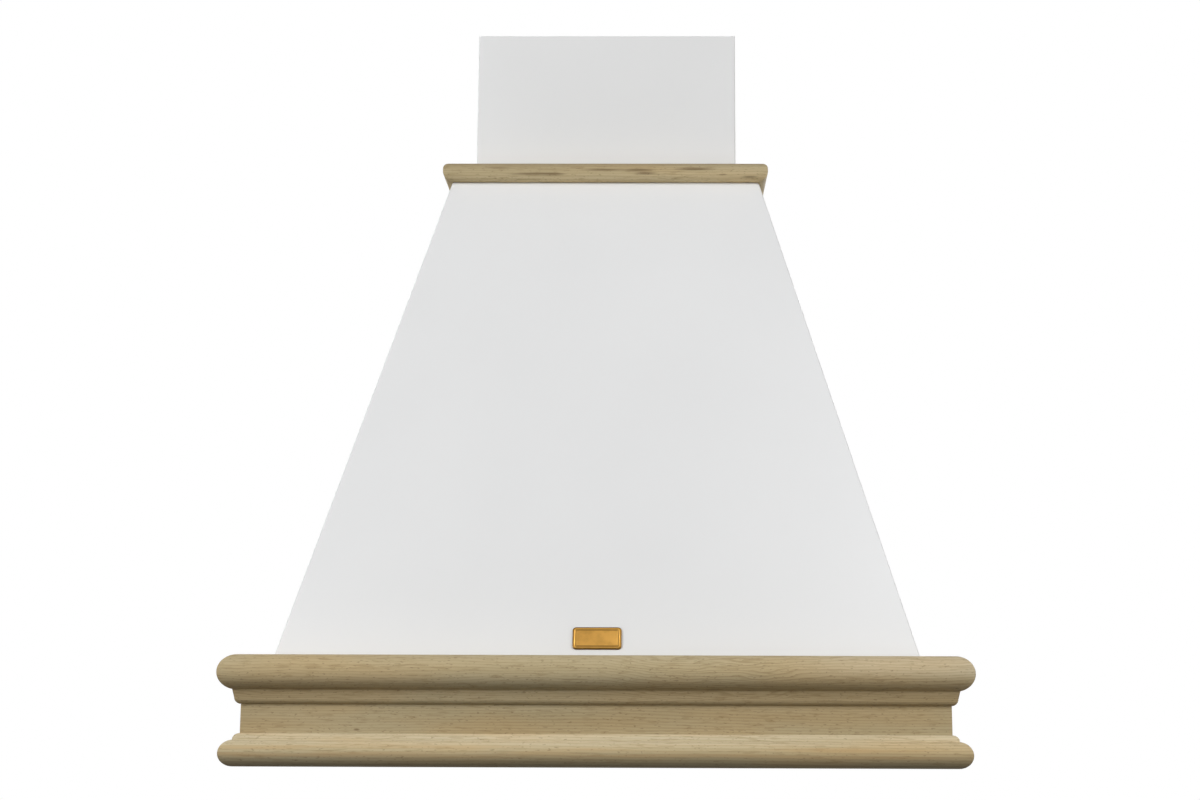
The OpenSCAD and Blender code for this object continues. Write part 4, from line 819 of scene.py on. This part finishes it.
def packGroup(f):
    group = bpy.data.node_groups.new("filterPack", "GeometryNodeTree")
    sockets = {}
    for name, kind in (("Cell", "Geometry"), ("Size X", "Float"), ("Size Y", "Float"), ("Vertices X", "Int"),
            ("Vertices Y", "Int"), ("Lift", "Float"), ("Material", "Material")):
        sockets[name] = group.interface.new_socket(name, in_out="INPUT", socket_type="NodeSocket" + kind)
    group.interface.new_socket("Pack", in_out="OUTPUT", socket_type="NodeSocketGeometry")
    add, link = group.nodes.new, group.links.new
    given = add("NodeGroupInput")
    layers = add("GeometryNodeJoinGeometry")
    for level, (x, y) in zip((-1, 0, 1), f["shifts"]):
        grid = add("GeometryNodeMeshGrid")
        for name in ("Size X", "Size Y", "Vertices X", "Vertices Y"):
            link(given.outputs[name], grid.inputs[name])
        rise = add("ShaderNodeMath")
        rise.operation = "MULTIPLY"
        rise.inputs[1].default_value = level
        link(given.outputs["Lift"], rise.inputs[0])
        spot = add("ShaderNodeCombineXYZ")
        spot.inputs[0].default_value, spot.inputs[1].default_value = x * mm, y * mm
        link(rise.outputs[0], spot.inputs[2])
        moved = add("GeometryNodeTransform")
        link(grid.outputs["Mesh"], moved.inputs["Geometry"])
        link(spot.outputs[0], moved.inputs["Translation"])
        link(moved.outputs[0], layers.inputs[0])
    spread = add("GeometryNodeInstanceOnPoints")
    link(layers.outputs[0], spread.inputs["Points"])
    link(given.outputs["Cell"], spread.inputs["Instance"])
    real = add("GeometryNodeRealizeInstances")
    link(spread.outputs[0], real.inputs[0])
    dress = add("GeometryNodeSetMaterial")
    link(real.outputs[0], dress.inputs["Geometry"])
    link(given.outputs["Material"], dress.inputs["Material"])
    link(dress.outputs[0], add("NodeGroupOutput").inputs[0])
    return group, {name: socket.identifier for name, socket in sockets.items()}


def buildFilterPacks(f, finish):
    group, keys = packGroup(f)
    for side in ("left", "right"):
        low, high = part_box(f"{side}_filter_mesh")
        cell = Vector((*f["cell"], 0)) * mm
        reach = Vector([max(abs(shift[i]) for shift in f["shifts"]) for i in (0, 1)] + [0]) * mm
        room = high - low - cell - 2 * reach - Vector((f["rim"], f["rim"], 0)) * mm
        counts = [int(room[i] / cell[i]) for i in (0, 1)]
        maker = bpy.data.objects.new("packMaker", cellMesh(f))
        bpy.context.scene.collection.objects.link(maker)
        repeat = maker.modifiers.new("filterPack", "NODES")
        repeat.node_group = group
        repeat[keys["Size X"]] = counts[0] * cell.x
        repeat[keys["Size Y"]] = counts[1] * cell.y
        repeat[keys["Vertices X"]] = counts[0] + 1
        repeat[keys["Vertices Y"]] = counts[1] + 1
        repeat[keys["Lift"]] = (high.z - low.z) / 2 - f["strand"][1] * mm
        repeat[keys["Material"]] = finish
        pack = bpy.data.meshes.new_from_object(maker.evaluated_get(bpy.context.evaluated_depsgraph_get()))
        maker.modifiers.remove(repeat)
        bpy.data.objects.remove(maker)
        pack.transform(Matrix.Translation((low + high) / 2))
        newPiece(f"{side}MeshPack", pack, f"{side}_filter", finish, [f"{side}_filter_mesh"])
        print("range hood:", side, "mesh pack has", len(pack.polygons), "faces")


# Floor

def buildFloor(s):
    p = Paint("paleFloor", (0.30, 0.30, 0.30), 0.7)
    x, y, z = p.parts(p.at)
    radius, sides = s["floorRadius"], s["floorSides"]
    glow = p.between((x * x + y * y) ** 0.5, s["glowFrom"] * radius, radius, s["floorGlow"], s["white"])
    dark, pale = s["floorTones"]
    p.colour(p.blend(p.noise(p.at, 1.5, 3), (dark, dark, dark), (pale, pale, pale)))
    p.feed(p.shader.inputs["Emission Color"], p.joined(glow, glow, glow))
    p.shader.inputs["Emission Strength"].default_value = 1
    rim = [(x, y, s["floorZ"]) for x, y in arc((0, 0), radius, 0, 360 - 360 / sides, sides - 1)]
    mesh = meshFrom("paleFloor", rim, [tuple(range(len(rim)))])
    mesh.materials.append(p.material)
    floor = bpy.data.objects.new("paleFloor", mesh)
    bpy.context.scene.collection.objects.link(floor)
    floor.visible_diffuse = False


addCamera(cameraFit)
buildStudio(studio)
print("range hood: camera, sky and lights stand")

finishes = makeFinishes()
dressNodes(finishes)
print("range hood: finishes are on the CAD nodes")

baseKnots = [(-190, -483, 29, 1.6), (-166, -497, 68, 1.8), (-123, -499, 73, 1.2)]  # x, y, height, size in mm
baseFinish = {
    "front": beech("beechBaseFront", "x", (0.31, 0.50, 0.600), knots=baseKnots, moulded=True),
    "left": beech("beechBaseLeft", "y", (0.81, 0.33, 0.612), moulded=True),
    "right": beech("beechBaseRight", "y", (1.27, -0.27, 0.607), moulded=True),
}
collarStains = [  # middle in x and height, half length and half width in mm, and strength
    (-66, 547.2, 36, 1.7, 0.80), (-49, 547.4, 15, 1.7, 0.85), (-2, 550.9, 26, 1.9, 0.90),
    (31, 550.6, 22, 2.1, 0.90), (38, 547.4, 15, 1.7, 0.90), (85, 551.9, 25, 1.9, 0.90),
    (-102, 552.9, 18, 1.3, 0.55), (137, 544.6, 11, 2.0, 0.65), (112, 546.5, 5, 0.9, 0.6),
]
collarFinish = {
    "front": beech("beechCollarFront", "x", (1.63, 0.30, -0.04), collarStains),
    "left": beech("beechCollarLeft", "y", (2.07, 0.19, -0.05)),
    "right": beech("beechCollarRight", "y", (2.61, -0.11, -0.06)),
}
buildRails("base", baseMoulding, baseSection(baseMoulding), baseMoulding["topOut"], baseFinish)
buildRails("collar", collarMoulding, collarSection(collarMoulding), 0, collarFinish)
print("range hood: beech rails are made")

buildDome(domeSheet, finishes["painted_steel"])
buildChimney(chimneySheet, finishes["painted_steel"])
buildBadge(badge, finishes["badge_brass"])
print("range hood: dome, chimney and badge are made")

buildFilterPacks(filterPack, finishes["filter_mesh"])
buildFloor(studio)
print("range hood: filter packs and floor are made")
